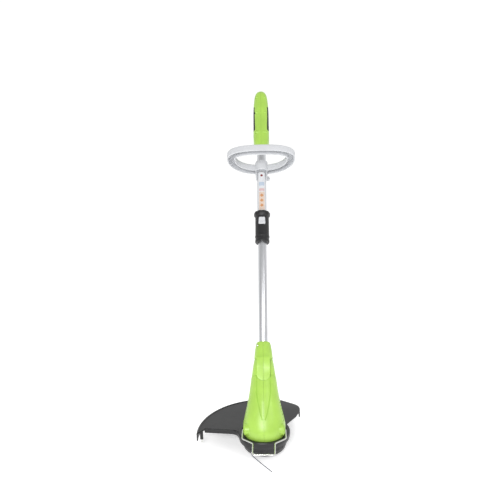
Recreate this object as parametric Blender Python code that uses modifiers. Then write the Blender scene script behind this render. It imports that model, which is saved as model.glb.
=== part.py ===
"""String trimmer with a telescoping shaft, a tilting motor head and a bump-feed spool.

Metres, +Z up. The origin is where the bump knob's flat foot meets the ground, on the
spool axis. -Y is the front, where the flower guard points, and +X is the right.
The shaft leans back from the head, so what sits on it is laid out along its own axis:
x is right, y is towards the underside and z is up the shaft.
"""

import math

import bmesh
import bpy
from mathutils import Matrix, Vector

# Driving dimensions, in metres.
SHAFT_LEAN = math.radians(36)
SHAFT_FOOT_Z = 0.080
GAP = 0.0003

LOWER_TUBE_R = 0.0120
LOWER_TUBE_WALL = 0.0015
UPPER_TUBE_R = 0.0135
UPPER_TUBE_WALL = 0.0011

# Stations along the shaft, from its foot.
PIVOT_L = 0.123
LOWER_TUBE_L0 = 0.146
NECK_TOP_L = 0.196
COLLAR_L0 = 0.480
COLLAR_L1 = 0.574
UPPER_TUBE_L0 = 0.508
LOWER_TUBE_L1 = 0.650
CLAMP_L0 = 0.7095
CLAMP_L1 = 0.7395
HANDLE_L0 = 0.790
UPPER_TUBE_L1 = 0.850
HANDLE_L1 = 0.992

HANDLE_HALF_WIDTH = 0.0235
HANDLE_WALL = 0.0026
LOOP_L = 0.721
LOOP_HALF_WIDTH = 0.085
LOOP_REAR = 0.006
LOOP_FRONT = -0.104
LOOP_WIDEST = -0.068
LOOP_BAND = 0.024
LOOP_DEPTH = 0.022
JAW_L0 = 0.680
KNOB_L = 0.6985
KNOB_Y = 0.0240
KNOB_R = 0.0070

BARREL_R = 0.032
TONGUE_HALF = 0.017
TONGUE_L0 = 0.091
TONGUE_L1 = 0.150
TONGUE_FRONT = 0.0365
TONGUE_BACK = 0.0338
HOUSING_WALL = 0.0028
HOUSING_Z0 = 0.0505
BOSS_Y = -0.024
BOSS_Z = 0.0685
BOSS_R = 0.0140
BOSS_FACE = 0.0508
VENTS = 4

GUARD_R = 0.170
GUARD_Z0 = 0.0460
GUARD_Z1 = 0.0500
HUB_R = 0.064
HUB_Z0 = 0.0360
RIM_Z = 0.0535
SKIRT_Z0 = 0.0290
SKIRT_WALL = 0.0030
GUARD_FROM = math.radians(75)
GUARD_TO = math.radians(183.4)

SPOOL_R = 0.0555
LINE_Z = 0.0180
LINE_R = 0.0010
WIRE_R = 0.0015

GREEN = (0.42, 0.66, 0.14)
LIGHT_GREY = (0.66, 0.67, 0.69)
ALUMINIUM = (0.78, 0.79, 0.80)
DARK = (0.045, 0.045, 0.047)
BLACK = (0.02, 0.02, 0.02)
STEEL = (0.60, 0.60, 0.58)
COPPER = (0.55, 0.27, 0.13)

# These shells are cut where their faces nearly meet, which the EXACT solver leaves open.
FINE_SHELLS = ("housing_", "neck_", "handle_shell_", "loop_handle", "guard")


def collection(name):
    made = bpy.data.collections.new(name)
    bpy.context.scene.collection.children.link(made)
    return made


for old in list(bpy.data.objects):
    bpy.data.objects.remove(old, do_unlink=True)
PARTS = collection("string_trimmer")
CUTTERS = collection("cutters")


# ---------------------------------------------------------------- building blocks
def add(name, mesh, place=PARTS):
    made = bpy.data.objects.new(name, mesh)
    place.objects.link(made)
    return made


def paint(thing, colour, roughness=0.5, metallic=0.0):
    finish = bpy.data.materials.new(thing.name)
    finish.use_nodes = True
    shader = finish.node_tree.nodes["Principled BSDF"]
    shader.inputs["Base Color"].default_value = (*colour, 1)
    shader.inputs["Roughness"].default_value = roughness
    shader.inputs["Metallic"].default_value = metallic
    thing.data.materials.clear()
    thing.data.materials.append(finish)
    return thing


def smooth(mesh, angle=35):
    mesh.shade_smooth()
    mesh.set_sharp_from_angle(angle=math.radians(angle))
    return mesh


def lathe(name, profile, steps=20):
    """A turned piece about Z. The profile runs down its outer side, as (radius, z) points."""
    mesh = bpy.data.meshes.new(name)
    closed = all(r > 0 for r, z in profile)
    edges = [(i, i + 1) for i in range(len(profile) - 1)]
    if closed:
        edges.append((len(profile) - 1, 0))
    mesh.from_pydata([(r, 0, z) for r, z in profile], edges, [])
    made = add(name, mesh)
    screw = made.modifiers.new("turn", "SCREW")
    screw.steps = screw.render_steps = steps
    screw.use_merge_vertices = True
    screw.merge_threshold = 0.00002
    screw.use_smooth_shade = False
    return made


def ring(name, outer, inner, z0, z1, steps=20):
    return lathe(name, [(outer, z1), (outer, z0), (inner, z0), (inner, z1)], steps)


def rod(name, radius, z0, z1, steps=20):
    return lathe(name, [(0, z1), (radius, z1), (radius, z0), (0, z0)], steps)


def block(name, size, centre=(0, 0, 0), bevel=0.0):
    mesh = bpy.data.meshes.new(name)
    work = bmesh.new()
    bmesh.ops.create_cube(work, size=1)
    bmesh.ops.scale(work, vec=size, verts=work.verts)
    bmesh.ops.translate(work, vec=centre, verts=work.verts)
    work.to_mesh(mesh)
    work.free()
    made = add(name, mesh)
    if bevel:
        rounding = made.modifiers.new("edges", "BEVEL")
        rounding.width = bevel
        rounding.segments = 2
    return made


def slab(name, outlines, thickness, bevel=0.0):
    """Flat closed outlines in XY, filled and made thick about Z=0; inner outlines are holes."""
    flat = bpy.data.curves.new(name, "CURVE")
    flat.dimensions = "2D"
    flat.fill_mode = "BOTH"
    flat.extrude = thickness / 2 - bevel
    flat.bevel_depth = bevel
    flat.bevel_resolution = 1
    flat.offset = -bevel
    for outline in outlines:
        line = flat.splines.new("POLY")
        line.points.add(len(outline) - 1)
        for point, (x, y) in zip(line.points, outline):
            point.co = (x, y, 0, 1)
        line.use_cyclic_u = True
    return meshed(name, flat)


def meshed(name, curve):
    """A curve object made into a mesh with its caps welded on."""
    bent = add(name + "_curve", curve)
    bpy.context.view_layer.update()
    depsgraph = bpy.context.evaluated_depsgraph_get()
    mesh = bpy.data.meshes.new_from_object(bent.evaluated_get(depsgraph))
    bpy.data.objects.remove(bent, do_unlink=True)
    work = bmesh.new()
    work.from_mesh(mesh)
    bmesh.ops.remove_doubles(work, verts=work.verts, dist=0.00001)
    bmesh.ops.recalc_face_normals(work, faces=work.faces)
    work.to_mesh(mesh)
    work.free()
    return add(name, mesh)


def wire(name, points, radius, closed=False, resolution=2):
    """A round wire through the points."""
    line = bpy.data.curves.new(name, "CURVE")
    line.dimensions = "3D"
    line.bevel_depth = radius
    line.bevel_resolution = resolution
    line.use_fill_caps = not closed
    spline = line.splines.new("POLY")
    spline.points.add(len(points) - 1)
    for point, place in zip(spline.points, points):
        point.co = (*place, 1)
    spline.use_cyclic_u = closed
    return meshed(name, line)


def loft(name, rings, endless=False):
    """A closed skin through rings of equally many points: with flat ends, or endless."""
    mesh = bpy.data.meshes.new(name)
    work = bmesh.new()
    rows = [[work.verts.new(p) for p in outline] for outline in rings]
    count = len(rows[0])
    nexts = rows[1:] + rows[:1] if endless else rows[1:]
    for low, high in zip(rows, nexts):
        for i in range(count):
            j = (i + 1) % count
            work.faces.new((low[i], low[j], high[j], high[i]))
    if not endless:
        work.faces.new(list(reversed(rows[0])))
        work.faces.new(rows[-1])
    bmesh.ops.recalc_face_normals(work, faces=work.faces)
    work.to_mesh(mesh)
    work.free()
    return add(name, mesh)


def sweep_loop(name, path, section):
    """A section of (outward, z) points carried round a closed flat path."""
    mesh = bpy.data.meshes.new(name)
    work = bmesh.new()
    count = len(path)
    rows = []
    for i, point in enumerate(path):
        along = (path[(i + 1) % count] - path[i - 1]).normalized()
        outward = Vector((along.y, -along.x, 0))
        rows.append([work.verts.new(point + outward * r + Vector((0, 0, z))) for r, z in section])
    for i in range(count):
        for j in range(len(section)):
            k = (j + 1) % len(section)
            here, there = rows[i], rows[(i + 1) % count]
            work.faces.new((here[j], here[k], there[k], there[j]))
    bmesh.ops.recalc_face_normals(work, faces=work.faces)
    work.to_mesh(mesh)
    work.free()
    return add(name, mesh)


def combine(thing, tool, operation="DIFFERENCE"):
    step = thing.modifiers.new(operation.lower(), "BOOLEAN")
    step.operation = operation
    step.solver = "MANIFOLD" if thing.name.startswith(FINE_SHELLS) else "EXACT"
    step.object = tool
    if PARTS.objects.get(tool.name):
        PARTS.objects.unlink(tool)
        CUTTERS.objects.link(tool)
    tool.hide_render = True
    tool.display_type = "WIRE"
    return thing


def cut(thing, *tools):
    for tool in tools:
        combine(thing, tool)
    return thing


def join(thing, *tools):
    for tool in tools:
        combine(thing, tool, "UNION")
    return thing


def turn_to(thing, axis, place=(0, 0, 0)):
    """Stands a piece that was made along Z on another axis, at a place."""
    thing.matrix_world = Matrix.Translation(place) @ Vector((0, 0, 1)).rotation_difference(
        Vector(axis)
    ).to_matrix().to_4x4()
    return thing


def axis_at(name, place, parent=None):
    """An empty on a joint's axis, which the moving pieces hang from."""
    empty = bpy.data.objects.new(name, None)
    PARTS.objects.link(empty)
    empty.empty_display_size = 0.02
    empty.location = place
    bpy.context.view_layer.update()
    if parent:
        hang(parent, empty)
    return empty


def hang(parent, *things):
    """Parents things to an empty and leaves them where they are."""
    bpy.context.view_layer.update()
    for thing in things:
        thing.parent = parent
        thing.matrix_parent_inverse = parent.matrix_world.inverted()


ON_SHAFT = Matrix.Translation((0, 0, SHAFT_FOOT_Z)) @ Matrix.Rotation(-SHAFT_LEAN, 4, "X")


def on_shaft(*things):
    """Takes pieces that were laid out along the shaft to their place."""
    for thing in things:
        thing.matrix_world = ON_SHAFT @ thing.matrix_world
    bpy.context.view_layer.update()


def shaft_point(x, y, z):
    return ON_SHAFT @ Vector((x, y, z))


def arc(centre, radius, start, end, steps):
    """Points on an arc, with its angles in degrees."""
    turns = [math.radians(start + (end - start) * i / steps) for i in range(steps + 1)]
    return [(centre[0] + radius * math.cos(a), centre[1] + radius * math.sin(a)) for a in turns]


def rounded(corners, steps=4):
    """A closed outline with each corner (x, y, radius) rounded."""
    points = []
    for i, (x, y, radius) in enumerate(corners):
        here = Vector((x, y))
        before = (Vector(corners[i - 1][:2]) - here).normalized()
        after = (Vector(corners[(i + 1) % len(corners)][:2]) - here).normalized()
        half = before.angle(after) / 2
        centre = here + (before + after).normalized() * (radius / math.sin(half))
        start = here + before * (radius / math.tan(half)) - centre
        end = here + after * (radius / math.tan(half)) - centre
        sweep = start.angle_signed(end)
        for k in range(steps + 1):
            spin = Matrix.Rotation(-sweep * k / steps, 2)
            points.append(tuple(centre + spin @ start))
    return points


def screw(name, length, head_r=0.0032, head_h=0.0022, shank_r=0.0014):
    """A screw along Z: its head's top is at 0 and its shank runs down."""
    profile = [(0, 0), (head_r, 0), (head_r, -head_h), (shank_r, -head_h)]
    profile += [(shank_r, -length), (0, -length)]
    return paint(lathe(name, profile, 12), STEEL, 0.35, 1.0)


def screw_hole(name, length, depth=0.0, head_r=0.0032, head_h=0.0022, shank_r=0.0014):
    """The clearance for that screw, with a well of some depth above its head."""
    wide, thin = head_r + GAP, shank_r + GAP
    profile = [(0, depth), (wide, depth), (wide, -head_h - GAP), (thin, -head_h - GAP)]
    profile += [(thin, -length - GAP), (0, -length - GAP)]
    return lathe(name, profile, 12)


def half_space(name, side, size=1.5):
    """Everything on the other side of the centre plane from a left (-1) or right (1) shell."""
    centre = (-side * (size / 2 - GAP / 2), 0, 0.4)
    return block(name, (size, size, 2 * size), centre)


# ---------------------------------------------------------------- rear handle
def handle_outline(inset=0.0):
    """The side view of the rear handle, as (across, along) points; across is the underside."""
    i = inset
    top, foot = HANDLE_L1 - i, HANDLE_L0 + i
    return rounded([
        (-0.0205 + i, foot, 0.004),
        (0.0205 - i, foot, 0.004),
        (0.0300 - i, foot + 0.022, 0.012),
        (0.0860 - i, foot + 0.060, 0.024 - i),
        (0.0880 - i, top - 0.022, 0.024 - i),
        (0.0300, top, 0.040),
        (-0.0235 + i, top, 0.022 - i),
        (-0.0225 + i, foot + 0.100, 0.060),
    ], 3)


def finger_hole(inset=0.0):
    i = inset
    return rounded([
        (0.0215 - i, HANDLE_L0 + 0.0630 - i, 0.010 + i),
        (0.0640 + i, HANDLE_L0 + 0.0820 - i, 0.014 + i),
        (0.0650 + i, HANDLE_L1 - 0.0440 + i, 0.016 + i),
        (0.0215 - i, HANDLE_L1 - 0.0300 + i, 0.012 + i),
    ], 3)


def side_slab(name, outlines, thickness, bevel=0.0, x=0.0):
    """A slab whose outline lies in the shaft's side view, with its thickness across it."""
    made = slab(name, outlines, thickness, bevel)
    made.matrix_world = Matrix.Translation((x, 0, 0)) @ Matrix(
        ((0, 0, 1, 0), (1, 0, 0, 0), (0, 1, 0, 0), (0, 0, 0, 1))
    )
    return made


# Each row: across, along, the depth of its head's seat and the half length of its pillar.
HANDLE_SCREWS = (
    (-0.0180, 0.961, 0.0100, 0.0175), (-0.0180, 0.905, 0.0100, 0.0175), (-0.0180, 0.835, 0.0105, 0.0175),
    (0.0740, 0.905, 0.0190, 0.0215),
)
HANDLE_SCREW_REACH = 0.010
INLET_L = 0.946
INLET_Y = 0.0850
INLET_R = 0.0158
INLET_DEPTH = 0.0180
TRIGGER_L = (0.878, 0.948)
HOLE_MIDDLE = Vector((0.0430, 0.9080))


def ray_hit(outline, direction):
    """Where a ray from the middle of the finger hole last meets a closed outline."""
    reach = 0.0
    for i, point in enumerate(outline):
        a = Vector(outline[i - 1]) - HOLE_MIDDLE
        edge = Vector(point) - HOLE_MIDDLE - a
        across = direction.cross(edge)
        if abs(across) > 1e-12:
            share = a.cross(direction) / across
            distance = a.cross(edge) / across
            if -1e-9 <= share <= 1 + 1e-9 and distance > reach:
                reach = distance
    return HOLE_MIDDLE + direction * reach


def handle_width(along):
    """The handle's half width: full at the grip, and drawn in towards both of its ends."""
    near_top = max(0.0, 1 - (HANDLE_L1 - along) / 0.090)
    near_foot = max(0.0, 1 - (along - HANDLE_L0) / 0.040)
    return HANDLE_HALF_WIDTH * (1 - 0.40 * near_top**2.2 - 0.12 * near_foot**2)


def handle_ring(name, inset=0.0, stations=52, around=14):
    """The handle is a closed ring round the finger hole, with an oval section that varies."""
    outer, inner = handle_outline(inset), finger_hole(inset)
    rows = []
    for k in range(stations):
        a = 2 * math.pi * k / stations
        direction = Vector((math.cos(a), math.sin(a)))
        far, near = ray_hit(outer, direction), ray_hit(inner, direction)
        middle, half = (far + near) / 2, (far - near) / 2
        wide = handle_width(middle.y) - inset
        row = []
        for n in range(around):
            t = 2 * math.pi * (n + 0.5) / around
            c, s = math.cos(t), math.sin(t)
            spot = middle + half * math.copysign(abs(c) ** (2 / 2.4), c)
            row.append((wide * math.copysign(abs(s) ** (2 / 2.4), s), spot.x, spot.y))
        rows.append(row)
    return loft(name, rows, True)


def handle_foot(name, shrink=0.0):
    """The handle's round lower end, which holds the tube."""
    rows = []
    for along, half in ((HANDLE_L0, 0.0205), (HANDLE_L0 + 0.012, 0.0215), (HANDLE_L0 + 0.058, 0.0225)):
        turns = (2 * math.pi * (k + 0.5) / 24 for k in range(24))
        rows.append([((half - shrink) * math.cos(a), (half - shrink) * math.sin(a), along) for a in turns])
    return loft(name, rows)


def handle_shells():
    shells = []
    for side, word in ((-1, "left"), (1, "right")):
        shell = handle_ring("handle_shell_" + word)
        hollow = handle_ring("handle_hollow_" + word, HANDLE_WALL, 40, 10)
        cut(shell, hollow)
        join(shell, handle_foot("handle_foot_" + word))
        for n, (y, z, seat, half) in enumerate(HANDLE_SCREWS):
            boss = rod(f"handle_boss_{word}_{n}", 0.0042, -half, half, 12)
            join(shell, turn_to(boss, (1, 0, 0), (0, y, z)))
        mouth = rod("tube_mouth_" + word, UPPER_TUBE_R + GAP, HANDLE_L0 - 0.01, UPPER_TUBE_L1 + 0.004)
        slot = block("trigger_slot_" + word, (0.0142, 0.022, TRIGGER_L[1] - TRIGGER_L[0] + 0.002),
                     (0, 0.021, (TRIGGER_L[0] + TRIGGER_L[1]) / 2))
        port = turn_to(rod("inlet_port_" + word, INLET_R + GAP, -INLET_DEPTH - GAP, 0.010, 24), (0, 1, 0),
                       (0, INLET_Y, INLET_L))
        button_way = turn_to(rod("button_way_" + word, 0.0068, -0.03, 0.03, 16), (1, 0, 0),
                             (0, 0.0020, 0.925))
        cut(shell, mouth, slot, port, button_way)
        for n, (y, z, seat, half) in enumerate(HANDLE_SCREWS):
            well = screw_hole(f"handle_well_{word}_{n}", seat + HANDLE_SCREW_REACH, 0.02)
            cut(shell, turn_to(well, (-1, 0, 0), (-seat, y, z)))
        grip = side_slab(f"grip_seat_{word}", [grip_outline(GAP)], 0.0036, 0, side * HANDLE_HALF_WIDTH)
        cut(shell, grip, half_space("handle_half_" + word, side))
        shells.append(paint(shell, GREEN, 0.42))
    bpy.context.view_layer.update()
    on_shaft(*shells, *CUTTERS.objects)
    return shells


def grip_outline(grow=0.0):
    g = grow
    return rounded([
        (-0.0130 - g, 0.846 - g, 0.005),
        (0.0085 + g, 0.852 - g, 0.005),
        (0.0105 + g, 0.908 + g, 0.004),
        (-0.0150 - g, 0.914 + g, 0.006),
    ], 3)


def grip_insets():
    insets = []
    for side, word in ((-1, "left"), (1, "right")):
        inset = side_slab("grip_inset_" + word, [grip_outline()], 0.0022, 0.0004,
                          side * (HANDLE_HALF_WIDTH - 0.0003))
        on_shaft(inset)
        insets.append(paint(inset, DARK, 0.75))
    return insets


def handle_fittings():
    """The switch, the male mains inlet with its blades, and the hook that keeps a lead in."""
    switch = block("switch_body", (0.0150, 0.0140, 0.0280), (0, -0.0060, 0.9015))
    floor = 0.0030 - INLET_DEPTH
    socket = lathe("inlet_socket", [
        (0, floor), (INLET_R - 0.0023, floor), (INLET_R - 0.0023, 0.004), (INLET_R, 0.004),
        (INLET_R, -INLET_DEPTH), (0, -INLET_DEPTH),
    ], 24)
    turn_to(socket, (0, 1, 0), (0, INLET_Y, INLET_L))
    blades = []
    for side, word in ((-1, "left"), (1, "right")):
        size = (0.0015, 0.0135, 0.0063)
        blade = block("inlet_blade_" + word, size, (side * 0.0063, INLET_Y + floor + GAP + size[1] / 2, INLET_L))
        blades.append(paint(blade, STEEL, 0.25, 1.0))
    hook_path = [
        (0, 0.0905, 0.905), (0, 0.0990, 0.909), (0, 0.1015, 0.916), (0, 0.1015, 0.926),
    ]
    hook = wire("cord_hook", hook_path, 0.0022)
    on_shaft(switch, socket, *blades, hook)
    return [paint(switch, BLACK, 0.5), paint(socket, BLACK, 0.45), *blades, paint(hook, DARK, 0.5)]


def trigger_parts():
    """The trigger hinges at its upper end, and the lock-off button slides across the handle."""
    low, high = TRIGGER_L
    shape = rounded([
        (0.0125, low + 0.004, 0.002), (0.0300, low + 0.003, 0.004), (0.0290, high - 0.030, 0.030),
        (0.0225, high - 0.004, 0.003), (0.0125, high - 0.003, 0.002),
    ], 3)
    trigger = side_slab("trigger", [shape], 0.0130, 0.0016)
    coil = [
        (0.0030 * math.cos(a), 0.0030 * math.sin(a), 0.0050 * a / (6 * math.pi))
        for a in (2 * math.pi * k / 10 for k in range(31))
    ]
    spring = wire("trigger_spring", coil, 0.00045, resolution=1)
    turn_to(spring, (0, 1, 0), (0, 0.0040, 0.898))
    button = turn_to(rod("lock_off_button", 0.0064, -0.0262, 0.0262, 20), (1, 0, 0), (0, 0.0020, 0.925))
    on_shaft(trigger, spring, button)
    paint(trigger, DARK, 0.5)
    paint(spring, STEEL, 0.3, 1.0)
    paint(button, DARK, 0.5)
    hang(axis_at("trigger_axis", shaft_point(0, 0.0190, TRIGGER_L[1] - 0.006)), trigger)
    hang(axis_at("lock_off_axis", shaft_point(0, 0.0020, 0.925)), button)


# ---------------------------------------------------------------- shaft
def shaft_tubes():
    upper = ring("upper_tube", UPPER_TUBE_R, UPPER_TUBE_R - UPPER_TUBE_WALL, UPPER_TUBE_L0, UPPER_TUBE_L1, 24)
    lower = ring("lower_tube", LOWER_TUBE_R, LOWER_TUBE_R - LOWER_TUBE_WALL, LOWER_TUBE_L0, LOWER_TUBE_L1, 24)
    stem_r = LOWER_TUBE_R - LOWER_TUBE_WALL - GAP
    plug = lathe("slide_plug", [
        (LOWER_TUBE_R, LOWER_TUBE_L1 + 0.0140), (LOWER_TUBE_R, LOWER_TUBE_L1 + GAP),
        (stem_r, LOWER_TUBE_L1 + GAP), (stem_r, LOWER_TUBE_L1 - 0.012),
        (0.0060, LOWER_TUBE_L1 - 0.012), (0.0060, LOWER_TUBE_L1 + 0.0140),
    ], 24)
    on_shaft(upper, lower, plug)
    paint(upper, ALUMINIUM, 0.35, 0.9)
    paint(lower, ALUMINIUM, 0.35, 0.9)
    paint(plug, DARK, 0.5)
    return upper, lower, plug


def collar():
    """The locking collar, the split collet that it squeezes, and the button in its front."""
    bore, seat = UPPER_TUBE_R + GAP, 0.0163
    sleeve = lathe("collar_sleeve", [
        (0.0150, COLLAR_L1), (0.0228, COLLAR_L1 - 0.0005), (0.0233, COLLAR_L1 - 0.0060),
        (0.0222, COLLAR_L1 - 0.0115), (0.0196, COLLAR_L1 - 0.0145), (0.0196, COLLAR_L0 + 0.0085),
        (0.0201, COLLAR_L0 + 0.0065), (0.0201, COLLAR_L0 + 0.0020), (0.0186, COLLAR_L0),
        (LOWER_TUBE_R + GAP, COLLAR_L0), (LOWER_TUBE_R + GAP, COLLAR_L0 + 0.004),
        (seat, COLLAR_L0 + 0.004), (seat, UPPER_TUBE_L0 - 0.001), (bore, UPPER_TUBE_L0 + 0.004),
        (bore, COLLAR_L1 - 0.001),
    ], 24)
    window = slab("button_window", [button_outline(GAP)], 0.012)
    window.matrix_world = Matrix.Translation((0, -0.0211, 0)) @ Matrix.Rotation(math.pi / 2, 4, "X")
    button = slab("release_button", [button_outline()], 0.0044, 0.0006)
    button.matrix_world = Matrix.Translation((0, -0.0192, 0)) @ Matrix.Rotation(math.pi / 2, 4, "X")
    collet = ring("collet", seat - GAP, LOWER_TUBE_R + GAP, COLLAR_L0 + 0.0045, UPPER_TUBE_L0 - 0.0015)
    split = block("collet_split", (0.0016, 0.02, 0.05), (0, 0.015, COLLAR_L0 + 0.02))
    on_shaft(sleeve, window, button, collet, split)
    cut(sleeve, window)
    cut(collet, split)
    paint(sleeve, DARK, 0.5)
    paint(button, LIGHT_GREY, 0.45)
    paint(collet, LIGHT_GREY, 0.5)
    hang(axis_at("collar_axis", shaft_point(0, 0, COLLAR_L0)), sleeve)
    hang(axis_at("release_axis", shaft_point(0, -0.0185, 0.541)), button)


def button_outline(grow=0.0):
    g = grow
    return rounded([
        (-0.0098 - g, 0.531 - g, 0.003), (0.0098 + g, 0.531 - g, 0.003),
        (0.0085 + g, 0.552 + g, 0.003), (-0.0085 - g, 0.552 + g, 0.003),
    ], 3)


def loop_path(steps=36):
    """The middle of the loop's band: flat across its front, and round elsewhere."""
    path = []
    for k in range(steps):
        a = 2 * math.pi * k / steps
        c, s = math.cos(a), math.sin(a)
        if s < 0:
            power, reach = 2 / 2.5, LOOP_WIDEST - LOOP_FRONT
        else:
            power, reach = 2 / 2.15, LOOP_REAR - LOOP_WIDEST
        x = LOOP_HALF_WIDTH * math.copysign(abs(c) ** power, c)
        y = LOOP_WIDEST + reach * math.copysign(abs(s) ** power, s)
        path.append(Vector((x, y, 0)))
    return path


def loop_handle():
    """The front handle is a channel whose open side faces the head, on a sleeve round the tube."""
    half, deep, wall = LOOP_BAND / 2, LOOP_DEPTH / 2, 0.0035
    section = [
        (half, -deep), (half, deep - 0.003), (half - 0.003, deep), (0.003 - half, deep),
        (-half, deep - 0.003), (-half, -deep), (wall - half, -deep), (wall - half, deep - wall),
        (half - wall, deep - wall), (half - wall, -deep),
    ]
    band = sweep_loop("loop_handle", loop_path(), section)
    band.location = (0, 0, LOOP_L)
    bpy.context.view_layer.update()
    sleeve = rod("loop_sleeve", 0.0185, CLAMP_L0, CLAMP_L1, 32)
    bore = rod("loop_bore", UPPER_TUBE_R + GAP, CLAMP_L0 - 0.01, CLAMP_L1 + 0.01, 32)
    jaw = lathe("clamp_jaw", [
        (0.0176, CLAMP_L0 - GAP), (0.0176, JAW_L0 + 0.010), (0.0152, JAW_L0), (UPPER_TUBE_R + GAP, JAW_L0),
        (UPPER_TUBE_R + GAP, CLAMP_L0 - GAP),
    ])
    tools = []
    for side in (-1, 1):
        lug = block(f"jaw_lug_{side}", (0.0050, 0.0165, 0.0200), (side * 0.0086, 0.0215, KNOB_L))
        tools.append(lug)
    mouth = block("jaw_mouth", (0.0290, 0.030, 0.06), (0, -0.0215, JAW_L0 + 0.014))
    tongue = block("loop_tongue", (0.0110, 0.0120, 0.0360), (0, 0.0242, KNOB_L + 0.007))
    hole = turn_to(rod("jaw_hole", 0.0025 + GAP, -0.03, 0.03, 12), (1, 0, 0), (0, KNOB_Y, KNOB_L))
    bolt = lathe("clamp_bolt", [(0, 0.0245), (0.0025, 0.0245), (0.0025, -0.0116), (0.0050, -0.0116),
                                (0.0050, -0.0150), (0, -0.0150)], 16)
    turn_to(bolt, (1, 0, 0), (0, KNOB_Y, KNOB_L))
    knob = lathe("clamp_knob", [(KNOB_R - 0.0015, 0.0235), (KNOB_R, 0.0220), (KNOB_R, 0.0140), (0.0050, 0.0117),
                                (0.0028, 0.0117), (0.0028, 0.0235)], 20)
    turn_to(knob, (1, 0, 0), (0, KNOB_Y, KNOB_L))
    on_shaft(band, sleeve, bore, jaw, *tools, mouth, tongue, hole, bolt, knob)
    join(band, sleeve, tongue)
    cut(band, bore, hole)
    join(jaw, *tools)
    cut(jaw, mouth, hole)
    paint(band, LIGHT_GREY, 0.45)
    paint(jaw, LIGHT_GREY, 0.45)
    paint(bolt, STEEL, 0.3, 1.0)
    paint(knob, LIGHT_GREY, 0.45)
    hang(axis_at("loop_axis", shaft_point(0, 0, LOOP_L)), band, jaw, bolt)
    hang(axis_at("knob_axis", shaft_point(0.02, KNOB_Y, KNOB_L)), knob)


# ---------------------------------------------------------------- neck and motor head
PIVOT = shaft_point(0, 0, PIVOT_L)


def oval(centre, lean, half_width, half_depth, square=2.3, count=24):
    """A ring of points round a centre (y, z), square to a direction that leans back."""
    ring_points = []
    for k in range(count):
        a = 2 * math.pi * (k + 0.5) / count
        c, s = math.cos(a), math.sin(a)
        x = half_width * math.copysign(abs(c) ** (2 / square), c)
        d = half_depth * math.copysign(abs(s) ** (2 / square), s)
        ring_points.append((x, centre[0] + d * math.cos(lean), centre[1] - d * math.sin(lean)))
    return ring_points


# Each row: centre y, centre z, lean in degrees, half width, half depth.
HOUSING_SPINE = (
    (0.000, HOUSING_Z0, 0, 0.0530, 0.0530),
    (0.001, 0.070, 3, 0.0525, 0.0525),
    (0.009, 0.088, 11, 0.0485, 0.0480),
    (0.021, 0.109, 20, 0.0428, 0.0425),
    (0.035, 0.130, 28, 0.0378, 0.0380),
    (0.050, 0.150, 34, 0.0342, 0.0342),
    (0.061, 0.165, 36, 0.0318, 0.0320),
)


def housing_rings(shrink=0.0):
    return [
        oval((y, z), math.radians(lean), w - shrink, d - shrink, 2.0 if lean < 5 else 2.25)
        for y, z, lean, w, d in HOUSING_SPINE
    ]


def barrel(name, radius, half_length, steps=36):
    return turn_to(rod(name, radius, -half_length, half_length, steps), (1, 0, 0), PIVOT)


def ear_rings():
    """The housing's upper end is a short barrel about the tilt axis, wider towards its foot."""
    rows = []
    for height, half in ((-0.026, 0.0325), (-0.010, 0.0300), (0.006, 0.0278), (0.020, 0.0255), (0.030, 0.0234)):
        depth = math.sqrt(max(BARREL_R**2 - height**2, 0.0001))
        centre = PIVOT + Vector((0, math.sin(SHAFT_LEAN), math.cos(SHAFT_LEAN))) * height
        rows.append(oval((centre.y, centre.z), SHAFT_LEAN, half, depth, 2.6))
    return rows


def neck_rings():
    rows = []
    for l, w, d in ((PIVOT_L - 0.004, 0.0262, 0.0300), (0.150, 0.0243, 0.0285), (0.166, 0.0230, 0.0262),
                    (0.180, 0.0212, 0.0235), (NECK_TOP_L - 0.005, 0.0192, 0.0208), (NECK_TOP_L, 0.0165, 0.0180)):
        centre = shaft_point(0, 0, l)
        rows.append(oval((centre.y, centre.z), SHAFT_LEAN, w, d, 2.4))
    return rows


def tongue_outline(grow=0.0):
    """The tongue from the front, as (x, along) points: straight sides and a round foot."""
    half = TONGUE_HALF + grow
    foot = arc((0, TONGUE_L0 + TONGUE_HALF), half, 180, 360, 8)
    return [(-half, TONGUE_L1 + grow), *foot, (half, TONGUE_L1 + grow)]


def front_slab(name, outline, y0, y1):
    """A slab whose outline faces the front of the shaft, from one depth to another."""
    made = slab(name, [outline], y1 - y0)
    made.matrix_world = Matrix.Translation((0, (y0 + y1) / 2, 0)) @ Matrix.Rotation(math.pi / 2, 4, "X")
    return made


def tongue_plate(name):
    return front_slab(name, tongue_outline(), -TONGUE_FRONT, -TONGUE_BACK)


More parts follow.
